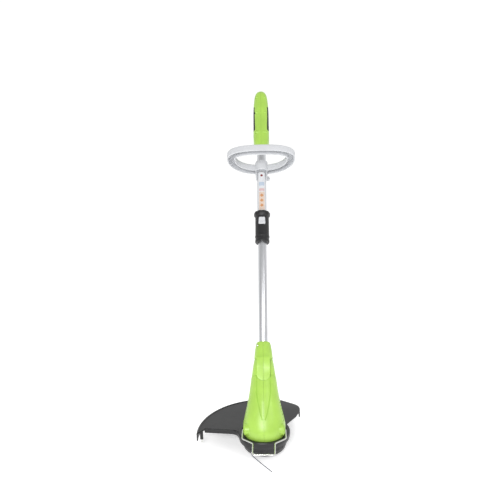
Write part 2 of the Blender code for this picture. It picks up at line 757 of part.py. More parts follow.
def neck_shells():
    shells = []
    for side, word in ((-1, "left"), (1, "right")):
        shell = loft("neck_shell_" + word, neck_rings())
        outside = rod("neck_clear_" + word, BARREL_R + 0.0006, TONGUE_HALF, 0.06, 32)
        turn_to(outside, (side, 0, 0), PIVOT)
        tongue = barrel("neck_tongue_" + word, BARREL_R, TONGUE_HALF, 32)
        plate = tongue_plate("neck_plate_" + word)
        root = block("neck_root_" + word, (2 * TONGUE_HALF, 0.0150, 0.0270), (0, -0.0290, 0.1380))
        hollow = rod("neck_socket_" + word, LOWER_TUBE_R + GAP, LOWER_TUBE_L0 - GAP, NECK_TOP_L + 0.01, 28)
        passage = rod("neck_passage_" + word, 0.0070, PIVOT_L + 0.006, LOWER_TUBE_L0 + 0.001, 16)
        pin = barrel("neck_pin_hole_" + word, 0.0040 + GAP, 0.06, 16)
        well = screw_hole("neck_well_" + word, 0.0290, 0.01)
        turn_to(well, (-1, 0, 0), (-0.0165, -0.0165, 0.185))
        on_shaft(hollow, passage, well, plate, root)
        cut(shell, outside)
        join(shell, tongue, root, plate)
        cut(shell, hollow, passage, pin, well)
        cut(shell, half_space("neck_half_" + word, side))
        shells.append(paint(shell, GREEN, 0.42))
    fixing = screw("neck_screw", 0.0290)
    turn_to(fixing, (-1, 0, 0), (-0.0165, -0.0165, 0.185))
    on_shaft(fixing)
    pin = paint(barrel("pivot_pin", 0.0040, 0.0268, 16), STEEL, 0.3, 1.0)
    return shells, fixing, pin


# Each row: y, z, the half length of its pillar and how far left its head sits.
HOUSING_SCREWS = ((-0.0300, 0.0880, 0.0250, 0.0200), (0.0450, 0.0950, 0.0325, 0.0300))


def housing_shells():
    shells = []
    for side, word in ((-1, "left"), (1, "right")):
        shell = loft("housing_" + word, housing_rings())
        ears = loft("housing_ears_" + word, ear_rings())
        ridge = ridge_solid("housing_ridge_" + word)
        boss = turn_to(rod("guard_boss_" + word, BOSS_R, 0.026, BOSS_FACE, 22), (side, 0, 0), (0, BOSS_Y, BOSS_Z))
        hollow = loft("housing_hollow_" + word, hollow_rings())
        slot = barrel("housing_slot_" + word, BARREL_R + 0.0006, TONGUE_HALF + GAP)
        pin = barrel("housing_pin_hole_" + word, 0.0040 + GAP, 0.0272, 16)
        wire_hole = lathe("wire_hole_" + word, [
            (0, 0.060), (0.0036, 0.060), (0.0036, 0.0465), (WIRE_R + GAP, 0.0465), (WIRE_R + GAP, 0.0415),
            (0, 0.0415),
        ], 12)
        turn_to(wire_hole, (side, 0, 0), (0, BOSS_Y, BOSS_Z))
        cut(join(shell, ears, ridge, boss), hollow)
        for n, (y, z, half, seat) in enumerate(HOUSING_SCREWS):
            pillar = rod(f"housing_pillar_{word}_{n}", 0.0042, -half, half, 12)
            turn_to(pillar, (1, 0, 0), (0, y, z))
            join(shell, pillar)
        recess = front_slab("tongue_recess_" + word, tongue_outline(GAP), -0.070, -TONGUE_BACK + GAP)
        opening = block("tongue_opening_" + word, (2 * (TONGUE_HALF + GAP), 0.060, 0.070), (0, -0.030, 0.1430))
        on_shaft(recess, opening)
        cut(shell, slot, recess, opening, pin, wire_hole)
        for n, (y, z, half, seat) in enumerate(HOUSING_SCREWS):
            well = screw_hole(f"housing_well_{word}_{n}", 0.040, 0.03)
            turn_to(well, (-1, 0, 0), (-seat, y, z))
            cut(shell, well)
        for n in range(VENTS):
            slit = block(f"vent_{word}_{n}", (0.016, 0.020, 0.0026))
            slit.matrix_world = Matrix.Translation((side * (0.0475 - 0.0022 * n), 0.012 + 0.006 * n, 0.0853 + 0.0087 * n))
            cut(shell, slit)
        cut(shell, half_space("housing_half_" + word, side))
        shells.append(paint(shell, GREEN, 0.42))
    fixings = []
    for n, (y, z, half, seat) in enumerate(HOUSING_SCREWS):
        fixing = screw(f"housing_screw_{n + 1}", 0.040)
        fixings.append(turn_to(fixing, (-1, 0, 0), (-seat, y, z)))
    return shells, fixings


def hollow_rings():
    """The space inside the housing: open at its foot, and stopped short of the tilt barrel."""
    rows = housing_rings(HOUSING_WALL)[:-1]
    rows[0] = [(x, y, z - 0.004) for x, y, z in rows[0]]
    return rows


def ridge_solid(name):
    """The raised rib down the front, as wide as the tongue above it and pointed at its foot."""
    rows = []
    for y, z, lean, w, d in HOUSING_SPINE[2:]:
        lean = math.radians(lean)
        share = (z - HOUSING_SPINE[2][1]) / (HOUSING_SPINE[-1][1] - HOUSING_SPINE[2][1])
        half = 0.0006 + 0.0164 * min(1.0, share * 1.9) ** 0.75
        proud = 0.0002 + 0.0026 * min(1.0, share * 1.6)
        row = []
        for x, out in ((-half, -0.006), (-half * 0.92, proud * 0.6), (0, proud), (half * 0.92, proud * 0.6), (half, -0.006)):
            front = d * (1 - abs(x / w) ** 2.3) ** (1 / 2.3) + out
            row.append((x, y - front * math.cos(lean), z + front * math.sin(lean)))
        rows.append(row)
    return loft(name, rows)


def motor():
    can = paint(ring("motor_can", 0.0240, 0.0222, 0.0680, 0.1060, 28), STEEL, 0.4, 0.9)
    cap = ring("motor_end_cap", 0.0240, 0.0085, 0.1063, 0.1090, 28)
    low = ring("lower_bearing", 0.0080, 0.0043, 0.0622, 0.0672, 20)
    high = ring("upper_bearing", 0.0082, 0.0043, 0.1066, 0.1106, 20)
    shaft = rod("rotor_shaft", 0.0040, 0.0300, 0.1130, 16)
    rotor = ring("rotor", 0.0210, 0.0043, 0.0700, 0.1040, 24)
    fan = ring("cooling_fan", 0.0120, 0.0043, 0.0530, 0.0600, 24)
    for n in range(8):
        blade = block(f"fan_blade_{n}", (0.0200, 0.0016, 0.0064), (0.0200, 0, 0.0565))
        blade.matrix_world = Matrix.Rotation(2 * math.pi * n / 8, 4, "Z") @ blade.matrix_world
        join(fan, blade)
    paint(cap, DARK, 0.5)
    paint(low, STEEL, 0.25, 1.0)
    paint(high, STEEL, 0.25, 1.0)
    paint(shaft, STEEL, 0.25, 1.0)
    paint(rotor, COPPER, 0.4, 0.8)
    paint(fan, DARK, 0.5)
    return [can, cap, low, high], [shaft, rotor, fan]


# ---------------------------------------------------------------- guard
# The guard's open corner on the right, from the hub to where its arc starts.
RIGHT_CORNER = (
    (0.0587, 0.0392), (0.0825, 0.0758), (0.0925, 0.1030), (0.0938, 0.1160), (0.0915, 0.1265), (0.0850, 0.1365),
    (0.0690, 0.1480),
)

# The front edge, from the left corner to the hub: x, y and how low its wall comes.
FRONT_EDGE = (
    (-0.1516, 0.0103, 0.0400), (-0.1200, 0.0070, 0.0400), (-0.0880, 0.0034, 0.0400),
    (-0.0764, 0.0012, 0.0398), (-0.0690, -0.0040, 0.0394), (-0.0645, -0.0120, 0.0388),
    (-0.0620, -0.0210, 0.0382), (-0.0592, -0.0310, 0.0376), (-0.0546, -0.0400, 0.0370),
    (-0.0482, -0.0476, 0.0366), (-0.0400, -0.0530, 0.0363), (-0.0315, -0.0540, 0.0362),
)


def guard_arc(radius, steps=24):
    turns = [GUARD_FROM + (GUARD_TO - GUARD_FROM) * k / steps for k in range(steps + 1)]
    return [Vector((radius * math.cos(a), radius * math.sin(a))) for a in turns]


def guard_outline():
    """The guard from above: a sector behind the head with a rounded right corner."""
    edge = [(x, y) for x, y, low in FRONT_EDGE]
    return [*guard_arc(GUARD_R - 0.0004), *edge, (0.0, -0.030), (0.045, 0.005), *RIGHT_CORNER]


def skirt_outline():
    """The wall under the guard's rim, round its right corner and along its arc."""
    outer = [Vector(p) for p in RIGHT_CORNER[2:]] + guard_arc(GUARD_R)
    inner = []
    for i, point in enumerate(outer):
        along = (outer[min(i + 1, len(outer) - 1)] - outer[max(i - 1, 0)]).normalized()
        inner.append(point + Vector((-along.y, along.x)) * SKIRT_WALL)
    return outer + inner[::-1]


def front_wall():
    """The wall under the front edge, which sinks into the hub and comes lower as it does."""
    rows = []
    spots = [Vector((x, y)) for x, y, low in FRONT_EDGE]
    for i, spot in enumerate(spots):
        along = (spots[min(i + 1, len(spots) - 1)] - spots[max(i - 1, 0)]).normalized()
        back = spot + Vector((-along.y, along.x)) * SKIRT_WALL
        low, high = FRONT_EDGE[i][2], GUARD_Z1 - 0.0003
        rows.append([(*spot, low), (*spot, high), (*back, high), (*back, low)])
    return loft("guard_front_wall", rows)


def guard():
    plate = slab("guard", [guard_outline()], GUARD_Z1 - GUARD_Z0)
    plate.location = (0, 0, (GUARD_Z0 + GUARD_Z1) / 2)
    depth = GUARD_Z1 - 0.0006 - SKIRT_Z0
    skirt = slab("guard_skirt", [skirt_outline()], depth)
    skirt.location = (0, 0, SKIRT_Z0 + depth / 2)
    hub = lathe("guard_hub", [
        (HUB_R - 0.0012, RIM_Z), (HUB_R, RIM_Z - 0.0020), (HUB_R, 0.0430), (HUB_R - 0.0016, HUB_Z0),
        (HUB_R - 0.0046, HUB_Z0), (HUB_R - 0.0032, GUARD_Z0 - 0.0003), (0.0085, GUARD_Z0 - 0.0003),
        (0.0085, GUARD_Z1 - 0.0004), (0.0560, GUARD_Z1 - 0.0004), (0.0560, RIM_Z),
    ], 40)
    prong = block("guard_prong", (0.0080, 0.0036, 0.0235), (-0.1590, 0.0060, 0.0365))
    bpy.context.view_layer.update()
    join(plate, hub, skirt, front_wall(), prong)
    cut(plate, rod("guard_bore", 0.0085, 0.0, 0.1))
    fixings = []
    for n in range(3):
        a = math.radians(90 + 120 * n)
        place = (0.040 * math.cos(a), 0.040 * math.sin(a), GUARD_Z0 - 0.0005)
        hole = turn_to(screw_hole(f"guard_well_{n}", 0.0040), (0, 0, -1), place)
        cut(plate, hole)
        fixing = screw(f"guard_screw_{n + 1}", 0.0040)
        fixings.append(turn_to(fixing, (0, 0, -1), place))
    paint(plate, DARK, 0.55)
    blade = block("line_blade", (0.0060, 0.0012, 0.0290), (-0.1590, 0.0087, 0.0285))
    paint(blade, STEEL, 0.3, 1.0)
    return plate, fixings, blade


# ---------------------------------------------------------------- spool
# The free line, from the eyelet's mouth to its cut end.
LINE_ROUTE = (
    (-0.0286, -0.0456, 0.0180), (-0.0303, -0.0484, 0.0180), (-0.0312, -0.0515, 0.0179),
    (-0.0304, -0.0552, 0.0176), (-0.0275, -0.0600, 0.0171), (-0.0222, -0.0668, 0.0164),
    (-0.0150, -0.0765, 0.0157), (-0.0070, -0.0872, 0.0152), (0.0010, -0.0976, 0.0148),
    (0.0095, -0.1086, 0.0146), (0.0176, -0.1194, 0.0145),
)


def spool():
    """The spinning cup, and in it the spool, its line and spring, with the bump knob below."""
    cup = lathe("spool_housing", [
        (0.0180, 0.0400), (0.0500, 0.0385), (SPOOL_R, 0.0340), (SPOOL_R, 0.0230), (0.0518, 0.0120),
        (0.0420, 0.0052), (0.0215, 0.0052), (0.0215, 0.0080), (0.0405, 0.0080), (0.0488, 0.0140),
        (SPOOL_R - 0.0030, 0.0240), (SPOOL_R - 0.0030, 0.0330), (0.0485, 0.0355), (0.0043, 0.0365),
        (0.0043, 0.0400),
    ], 32)
    way = math.atan2(LINE_ROUTE[0][1], LINE_ROUTE[0][0])
    outward = Vector((math.cos(way), math.sin(way), 0))
    eye = ring("eyelet", 0.0036, 0.0016, 0.0495, 0.0562, 16)
    turn_to(eye, outward, (0, 0, LINE_Z))
    port = turn_to(rod("eyelet_port", 0.0036 + GAP, 0.046, 0.070, 16), outward, (0, 0, LINE_Z))
    cut(cup, port)
    reel = lathe("spool", [
        (0.0120, 0.0290), (0.0450, 0.0290), (0.0450, 0.0272), (0.0180, 0.0272), (0.0180, 0.0162),
        (0.0450, 0.0162), (0.0450, 0.0144), (0.0120, 0.0144),
    ], 32)
    coil = ring("line_coil", 0.0410, 0.0183, 0.0165, 0.0269, 28)
    turns = [
        (0.0085 * math.cos(a), 0.0085 * math.sin(a), 0.0302 + 0.0050 * a / (6 * math.pi))
        for a in (2 * math.pi * k / 14 for k in range(43))
    ]
    spring = wire("spool_spring", turns, 0.0006, resolution=1)
    knob = lathe("bump_knob", [
        (0, 0.0240), (0.0105, 0.0240), (0.0105, 0.0098), (0.0205, 0.0092), (0.0205, 0.0060),
        (0.0180, 0.0020), (0.0130, 0.0), (0, 0),
    ], 32)
    paint(cup, BLACK, 0.5)
    paint(eye, STEEL, 0.25, 1.0)
    paint(reel, DARK, 0.5)
    paint(coil, LIGHT_GREY, 0.5)
    paint(spring, STEEL, 0.3, 1.0)
    paint(knob, BLACK, 0.5)
    return [cup, eye, reel, coil, spring], knob


def smooth_line(points, per_span):
    """Points on a Catmull-Rom curve through a route."""
    ends = [points[0], *points, points[-1]]
    line = []
    for i in range(len(points) - 1):
        a, b, c, d = (Vector(p) for p in ends[i:i + 4])
        for k in range(per_span):
            t = k / per_span
            line.append(0.5 * ((2 * b) + (c - a) * t + (2 * a - 5 * b + 4 * c - d) * t**2
                               + (3 * b - a - 3 * c + d) * t**3))
    line.append(Vector(points[-1]))
    return line


def cutting_line():
    return paint(wire("cutting_line", smooth_line(LINE_ROUTE, 3), LINE_R), LIGHT_GREY, 0.4)


# ---------------------------------------------------------------- flower guard
WIRE_BENDS = ((0.0425, BOSS_Y), (0.0526, BOSS_Y), (0.0526, -0.0667), (0.0262, -0.0880), (0.0257, -0.1357))


def wire_guard():
    """A bent wire from boss to boss that stands out in front of the head."""
    right = [Vector((x, y, BOSS_Z)) for x, y in WIRE_BENDS]
    corners = right + [Vector((-p.x, p.y, p.z)) for p in reversed(right)]
    path = [corners[0]]
    for before, here, after in zip(corners, corners[1:], corners[2:]):
        reach = 0.0045
        start = here + (before - here).normalized() * reach
        end = here + (after - here).normalized() * reach
        path += [start, (start + end) / 4 + here / 2, end]
    path.append(corners[-1])
    return paint(wire("wire_guard", path, WIRE_R), STEEL, 0.3, 1.0)


# ---------------------------------------------------------------- assembly
handle_shells()
grip_insets()
handle_fittings()
trigger_parts()
for number, (across, along, seat, half) in enumerate(HANDLE_SCREWS):
    fastener = screw(f"handle_screw_{number + 1}", seat + HANDLE_SCREW_REACH)
    on_shaft(turn_to(fastener, (-1, 0, 0), (-seat, across, along)))
upper_tube, lower_tube, slide_plug = shaft_tubes()
collar()
loop_handle()

neck, neck_screw, pivot_pin = neck_shells()
shells, housing_screws = housing_shells()
still, turning = motor()
guard_plate, guard_screws, line_blade = guard()
spinning, bump_knob = spool()
line = cutting_line()
flower_wire = wire_guard()

shaft_axis = axis_at("shaft_axis", shaft_point(0, 0, LOWER_TUBE_L0))
hang(shaft_axis, lower_tube, slide_plug, *neck, neck_screw, pivot_pin)
tilt_axis = axis_at("tilt_axis", PIVOT, shaft_axis)
hang(tilt_axis, *shells, *housing_screws, *still, guard_plate, *guard_screws, line_blade)
spool_axis = axis_at("spool_axis", (0, 0, 0.02), tilt_axis)
hang(spool_axis, *turning, *spinning, line)
hang(axis_at("bump_axis", (0, 0, 0), spool_axis), bump_knob)
hang(axis_at("wire_axis", (0, BOSS_Y, BOSS_Z), tilt_axis), flower_wire)

for piece in PARTS.objects:
    if piece.type == "MESH":
        smooth(piece.data)
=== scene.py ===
"""The string trimmer's looks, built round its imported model.

Metres, +Z up, the spool axis on Z and the front towards -Y. Pieces on the shaft are made
along its own axis, with x to the right, y to the underside and z up the shaft, and are
then stood on it.
"""

import math

import bmesh
import bpy
from mathutils import Matrix, Vector


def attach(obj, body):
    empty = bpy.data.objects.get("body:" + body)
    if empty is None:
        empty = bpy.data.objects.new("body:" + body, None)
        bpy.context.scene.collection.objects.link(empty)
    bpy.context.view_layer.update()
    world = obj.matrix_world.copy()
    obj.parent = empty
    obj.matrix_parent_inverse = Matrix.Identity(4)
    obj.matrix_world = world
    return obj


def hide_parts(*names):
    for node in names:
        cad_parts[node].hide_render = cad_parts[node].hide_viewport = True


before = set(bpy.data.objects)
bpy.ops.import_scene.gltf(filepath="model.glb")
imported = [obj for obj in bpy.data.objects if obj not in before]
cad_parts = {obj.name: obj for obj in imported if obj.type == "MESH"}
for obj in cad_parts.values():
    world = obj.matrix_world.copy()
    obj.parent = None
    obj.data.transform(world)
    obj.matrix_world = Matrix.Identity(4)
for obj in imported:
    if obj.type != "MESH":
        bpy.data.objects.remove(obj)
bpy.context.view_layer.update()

# The driving dimensions are the model's own.
SHAFT_LEAN = math.radians(36)
SHAFT_FOOT_Z = 0.08
GAP = 0.0003
SEAM = 0.0006
LOWER_TUBE_R = 0.012
UPPER_TUBE_R = 0.0135
PIVOT_L = 0.123
LOWER_TUBE_L0, LOWER_TUBE_L1 = 0.146, 0.65
NECK_TOP_L = 0.196
COLLAR_L0, COLLAR_L1 = 0.48, 0.574
UPPER_TUBE_L0, UPPER_TUBE_L1 = 0.508, 0.85
CLAMP_L0, CLAMP_L1, JAW_L0 = 0.7095, 0.7395, 0.68
KNOB_L, KNOB_Y, KNOB_R = 0.6985, 0.024, 0.007
HANDLE_L0, HANDLE_L1 = 0.79, 0.991
HANDLE_HALF_WIDTH = 0.0235
LOOP_L, LOOP_HALF_WIDTH, LOOP_REAR, LOOP_FRONT = 0.721, 0.08499, 0.006, -0.104
LOOP_WIDEST, LOOP_BAND, LOOP_DEPTH = -0.068, 0.024, 0.022
BARREL_R, TONGUE_HALF = 0.032, 0.017
TONGUE_L0, TONGUE_L1, TONGUE_FRONT, TONGUE_BACK = 0.091, 0.15, 0.0365, 0.0338
HOUSING_WALL, HOUSING_Z0 = 0.0028, 0.0505
BOSS_Y, BOSS_Z, BOSS_R, BOSS_FACE = -0.024, 0.0685, 0.014, 0.0508
GUARD_R, GUARD_Z0, GUARD_Z1 = 0.1699, 0.046, 0.05
HUB_R, HUB_Z0, RIM_Z = 0.064, 0.036, 0.0535
SKIRT_Z0, SKIRT_WALL = 0.029, 0.003
GUARD_FROM, GUARD_TO = math.radians(75), math.radians(183.4)
SPOOL_R, LINE_Z, LINE_R, WIRE_R = 0.0555, 0.018, 0.001, 0.0015

ON_SHAFT = Matrix.Translation((0, 0, SHAFT_FOOT_Z)) @ Matrix.Rotation(-SHAFT_LEAN, 4, "X")
PIVOT = ON_SHAFT @ Vector((0, 0, PIVOT_L))


# ---------------------------------------------------------------- materials
CLOUD_SCALE, GLOSS_SCALE = 22, 60


def nodes_of(name, colour, roughness, metallic=0.0):
    finish = bpy.data.materials.new(name)
    finish.use_nodes = True
    tree = finish.node_tree
    shader = tree.nodes["Principled BSDF"]
    shader.inputs["Base Color"].default_value = (*colour, 1)
    shader.inputs["Roughness"].default_value = roughness
    shader.inputs["Metallic"].default_value = metallic
    return finish, tree, shader


def noise(tree, scale, detail=3.0, stretch=(1, 1, 1)):
    """Noise in the piece's own metres, stretched along an axis where its scale is small."""
    where = tree.nodes.new("ShaderNodeTexCoord")
    spread = tree.nodes.new("ShaderNodeMapping")
    spread.inputs["Scale"].default_value = stretch
    speckle = tree.nodes.new("ShaderNodeTexNoise")
    speckle.inputs["Scale"].default_value = scale
    speckle.inputs["Detail"].default_value = detail
    tree.links.new(where.outputs["Object"], spread.inputs["Vector"])
    tree.links.new(spread.outputs["Vector"], speckle.inputs["Vector"])
    return speckle.outputs["Fac"]


def vary(tree, source, low, high):
    ranged = tree.nodes.new("ShaderNodeMapRange")
    ranged.inputs["To Min"].default_value = low
    ranged.inputs["To Max"].default_value = high
    tree.links.new(source, ranged.inputs["Value"])
    return ranged.outputs["Result"]


def tint(tree, shader, source, colour, spread):
    """The colour, darker and lighter by turns."""
    ramp = tree.nodes.new("ShaderNodeValToRGB")
    for n, (position, share) in enumerate(((0.35, 1 - spread), (0.65, 1 + spread))):
        stop = ramp.color_ramp.elements[n]
        stop.position = position
        stop.color = (*(min(1, c * share) for c in colour), 1)
    tree.links.new(source, ramp.inputs["Fac"])
    tree.links.new(ramp.outputs["Color"], shader.inputs["Base Color"])


def bump(tree, shader, source, strength, depth):
    relief = tree.nodes.new("ShaderNodeBump")
    relief.inputs["Strength"].default_value = strength
    relief.inputs["Distance"].default_value = depth
    tree.links.new(source, relief.inputs["Height"])
    tree.links.new(relief.outputs["Normal"], shader.inputs["Normal"])


def moulded(name, colour, roughness, grain=900, depth=0.00012, spread=0.06):
    """Moulded plastic: spark-eroded grain, and a faint cloudiness in colour and gloss."""
    finish, tree, shader = nodes_of(name, colour, roughness)
    tint(tree, shader, noise(tree, CLOUD_SCALE, 4), colour, spread)
    gloss = vary(tree, noise(tree, GLOSS_SCALE, 5), roughness - 0.05, roughness + 0.06)
    tree.links.new(gloss, shader.inputs["Roughness"])
    bump(tree, shader, noise(tree, grain, 2), 0.35, depth)
    return finish


def drawn_metal(name, colour, roughness, stretch=(1, 1, 0.02), spread=0.04, scale=700):
    """Drawn or turned metal, with fine streaks along one axis."""
    finish, tree, shader = nodes_of(name, colour, roughness, 1.0)
    streak = noise(tree, scale, 3, stretch)
    tint(tree, shader, streak, colour, spread)
    gloss = vary(tree, streak, roughness - 0.06, roughness + 0.08)
    tree.links.new(gloss, shader.inputs["Roughness"])
    bump(tree, shader, streak, 0.12, 0.00005)
    return finish


def ink(word, colour, roughness=0.5, spread=0.06):
    return moulded("label_" + word, colour, roughness, 1500, 0.00002, spread)


GREEN = moulded("green_plastic", (0.36, 0.59, 0.085), 0.36, 1100, 0.00008)
LIGHT = moulded("light_plastic", (0.56, 0.57, 0.59), 0.42, 1000, 0.00008, 0.03)
DARK = moulded("dark_plastic", (0.009, 0.009, 0.01), 0.4, 850, 0.00014, 0.15)
BLACK = moulded("black_plastic", (0.012, 0.012, 0.013), 0.42, 850, 0.0001, 0.15)
GRIP = moulded("soft_grip", (0.022, 0.022, 0.023), 0.72, 600, 0.0003, 0.15)
LINE = moulded("line", (0.07, 0.08, 0.11), 0.35, 1500, 0.00004, 0.08)
TUBE = drawn_metal("tube", (0.66, 0.67, 0.69), 0.36)
STEEL = drawn_metal("steel", (0.66, 0.66, 0.64), 0.24, (1, 1, 1))
WIRE = drawn_metal("wire", (0.66, 0.66, 0.64), 0.26, (1, 1, 1), 0.03)
COPPER = drawn_metal("winding", (0.62, 0.3, 0.14), 0.38, (1, 1, 1), 0.2)
PAPER = ink("paper", (0.62, 0.63, 0.65), 0.55, 0.02)
ORANGE = ink("orange", (0.52, 0.25, 0.11), spread=0.05)
PINK = ink("pink", (0.6, 0.42, 0.42))
BLUE = ink("blue", (0.42, 0.49, 0.58))
PEACH = ink("peach", (0.62, 0.5, 0.42), spread=0.04)
MAROON = ink("maroon", (0.2, 0.035, 0.035), spread=0.1)


# ---------------------------------------------------------------- mesh helpers
def fillet(corners, closed=True, steps=5):
    """A line of (x, y, radius) corners with each corner rounded; an open line keeps its ends."""
    points = []
    for i, (x, y, radius) in enumerate(corners):
        if radius <= 0 or (not closed and i in (0, len(corners) - 1)):
            points.append((x, y))
            continue
        here = Vector((x, y))
        before = (Vector(corners[i - 1][:2]) - here).normalized()
        after = (Vector(corners[(i + 1) % len(corners)][:2]) - here).normalized()
        half = before.angle(after) / 2
        centre = here + (before + after).normalized() * (radius / math.sin(half))
        start = here + before * (radius / math.tan(half)) - centre
        end = here + after * (radius / math.tan(half)) - centre
        sweep = start.angle_signed(end)
        for k in range(steps + 1):
            points.append(tuple(centre + Matrix.Rotation(-sweep * k / steps, 2) @ start))
    return points


def linked(name, data):
    """A new object in the scene."""
    made = bpy.data.objects.new(name, data)
    bpy.context.scene.collection.objects.link(made)
    return made


def evaluated(thing):
    """A mesh of an object as its modifiers leave it."""
    bpy.context.view_layer.update()
    return bpy.data.meshes.new_from_object(thing.evaluated_get(bpy.context.evaluated_depsgraph_get()))


def mesh_from(work, outward=True):
    if outward:
        bmesh.ops.recalc_face_normals(work, faces=work.faces)
    mesh = bpy.data.meshes.new("piece")
    work.to_mesh(mesh)
    work.free()
    return mesh


def skin(rows, closed_rows=False):
    """A mesh through rows of points. A row of one point closes to it."""
    work = bmesh.new()
    made = [[work.verts.new(p) for p in row] for row in rows]
    pairs = list(zip(made, made[1:]))
    if closed_rows:
        pairs.append((made[-1], made[0]))
    for low, high in pairs:
        if len(low) == 1 and len(high) == 1:
            continue
        count = max(len(low), len(high))
        for i in range(count):
            j = (i + 1) % count
            corners = []
            for v in (low[i % len(low)], low[j % len(low)], high[j % len(high)], high[i % len(high)]):
                if v not in corners:
                    corners.append(v)
            work.faces.new(corners)
    if not closed_rows:
        for row in (made[0], made[-1]):
            if len(row) > 2:
                work.faces.new(row)
    return mesh_from(work)


def turns(count, start=0):
    """Angles spaced evenly round a circle; the first may be a part of a step on."""
    return [2 * math.pi * (k + start) / count for k in range(count)]


def polar(radius, a, *rest):
    return (radius * math.cos(a), radius * math.sin(a), *rest)


def lathe(profile, steps=72, wave=None):
    """A turned mesh about Z through (radius, z) points; a wave may move each point's radius."""
    rows = []
    closed = all(p[0] > 1e-9 for p in profile)
    for r, z in profile:
        if r <= 1e-9:
            rows.append([(0, 0, z)])
            continue
        rows.append([polar(wave(r, z, a) if wave else r, a, z) for a in turns(steps)])
    return skin(rows, closed_rows=closed)


def ring(outer, inner, z0, z1, edge, steps):
    corners = [(outer, z1, edge), (outer, z0, edge), (inner, z0, edge), (inner, z1, edge)]
    return lathe(fillet(corners, True, 2), steps)


def rod(radius, z0, z1, edge=0.0, steps=40):
    corners = [(0, z1, 0), (radius, z1, edge), (radius, z0, edge), (0, z0, 0)]
    return lathe(fillet(corners, False, 2), steps)


def block(size, centre=(0, 0, 0), edge=0.0, segments=3):
    work = bmesh.new()
    bmesh.ops.create_cube(work, size=1)
    bmesh.ops.scale(work, vec=size, verts=work.verts)
    bmesh.ops.translate(work, vec=centre, verts=work.verts)
    if edge:
        bmesh.ops.bevel(work, geom=work.edges[:], offset=edge, segments=segments, affect="EDGES", profile=0.5)
    return mesh_from(work)


def from_curve(curve):
    bent = linked("bent", curve)
    mesh = evaluated(bent)
    bpy.data.objects.remove(bent, do_unlink=True)
    work = bmesh.new()
    work.from_mesh(mesh)
    bmesh.ops.remove_doubles(work, verts=work.verts, dist=0.000005)
    return mesh_from(work)


def slab(outlines, thickness, bevel=0.0, resolution=4):
    """Flat closed outlines in XY made thick about Z=0, with rounded edges; inner ones are holes."""
    flat = bpy.data.curves.new("flat", "CURVE")
    flat.dimensions = "2D"
    flat.fill_mode = "BOTH"
    flat.extrude = thickness / 2 - bevel
    flat.bevel_depth = bevel
    flat.bevel_resolution = resolution
    flat.offset = -bevel
    for outline in outlines:
        line = flat.splines.new("POLY")
        line.points.add(len(outline) - 1)
        for point, (x, y) in zip(line.points, outline):
            point.co = (x, y, 0, 1)
        line.use_cyclic_u = True
    return from_curve(flat)


def round_curve(name, points, radius, resolution):
    """A curve with a round section and flat ends."""
    line = bpy.data.curves.new(name, "CURVE")
    line.dimensions = "3D"
    line.bevel_depth = radius
    line.bevel_resolution = resolution
    line.use_fill_caps = True
    spline = line.splines.new("POLY")
    spline.points.add(len(points) - 1)
    for point, place in zip(spline.points, points):
        point.co = (*place, 1)
    return line


def wire(points, radius, resolution=5):
    return from_curve(round_curve("wire", points, radius, resolution))


def moved(mesh, matrix):
    mesh.transform(matrix)
    return mesh


def stood(mesh, axis, place=(0, 0, 0)):
    turn = Vector((0, 0, 1)).rotation_difference(Vector(axis)).to_matrix().to_4x4()
    return moved(mesh, Matrix.Translation(place) @ turn)


def shifted(mesh, x, y, z):
    return moved(mesh, Matrix.Translation((x, y, z)))


def cross_rod(radius, half, y, z, steps):
    """A rod that runs from side to side."""
    return stood(rod(radius, -half, half, 0, steps), (1, 0, 0), (0, y, z))


def squarish(value, square):
    """A sine or cosine pushed out towards a rounded square; 2 leaves it as it is."""
    return math.copysign(abs(value) ** (2 / square), value)


SIDE_VIEW = Matrix(((0, 0, 1, 0), (1, 0, 0, 0), (0, 1, 0, 0), (0, 0, 0, 1)))
FRONT_VIEW = Matrix.Rotation(math.pi / 2, 4, "X")


def on_shaft(mesh):
    return moved(mesh, ON_SHAFT)


def solid_step(base, tools, operation):
    """A mesh with others cut from it or joined to it as solids."""
    thing = linked("base", base)
    helpers = [linked("tool", tool) for tool in tools]
    for helper in helpers:
        step = thing.modifiers.new("step", "BOOLEAN")
        step.operation = operation
        step.solver = "MANIFOLD"
        step.object = helper
    mesh = evaluated(thing)
    for old in (thing, *helpers):
        bpy.data.objects.remove(old, do_unlink=True)
    return mesh


def cut(base, *tools):
    return solid_step(base, tools, "DIFFERENCE")


def fuse(base, *tools):
    return solid_step(base, tools, "UNION")


def piece(name, mesh, finish, body, nodes=(), soften=0.0):
    """A finished piece that rides a body, and stands for the CAD nodes that it names."""
    made = linked(name, mesh)
    if soften:
        edges = made.modifiers.new("edges", "BEVEL")
        edges.width = soften
        edges.segments = 2
        edges.limit_method = "ANGLE"
        edges.angle_limit = math.radians(40)
        edges.use_clamp_overlap = True
    mesh.materials.clear()
    mesh.materials.append(finish)
    mesh.shade_smooth()
    mesh.set_sharp_from_angle(angle=math.radians(32))
    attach(made, body)
    if nodes:
        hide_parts(*nodes)
    return made


def between(p, q, r, s, t):
    """A smooth curve's value at a share t of the way from q to r, with p before and s after."""
    square, cube = 2 * p - 5 * q + 4 * r - s, 3 * q - p - 3 * r + s
    return 0.5 * (2 * q + (r - p) * t + square * t**2 + cube * t**3)


def spline_rows(rows, per_span):
    """Rows of numbers on a smooth curve through the given rows."""
    ends = [rows[0], *rows, rows[-1]]
    out = []
    for i in range(len(rows) - 1):
        a, b, c, d = ends[i:i + 4]
        for k in range(per_span):
            t = k / per_span
            out.append([between(p, q, r, s, t) for p, q, r, s in zip(a, b, c, d)])
    out.append(list(rows[-1]))
    return out


def half_space(side):
    """All that lies on the other side of the seam between two shells."""
    size = 1.5
    return block((size, size, 2 * size), (-side * (size / 2 - GAP / 2), 0, 0.4))


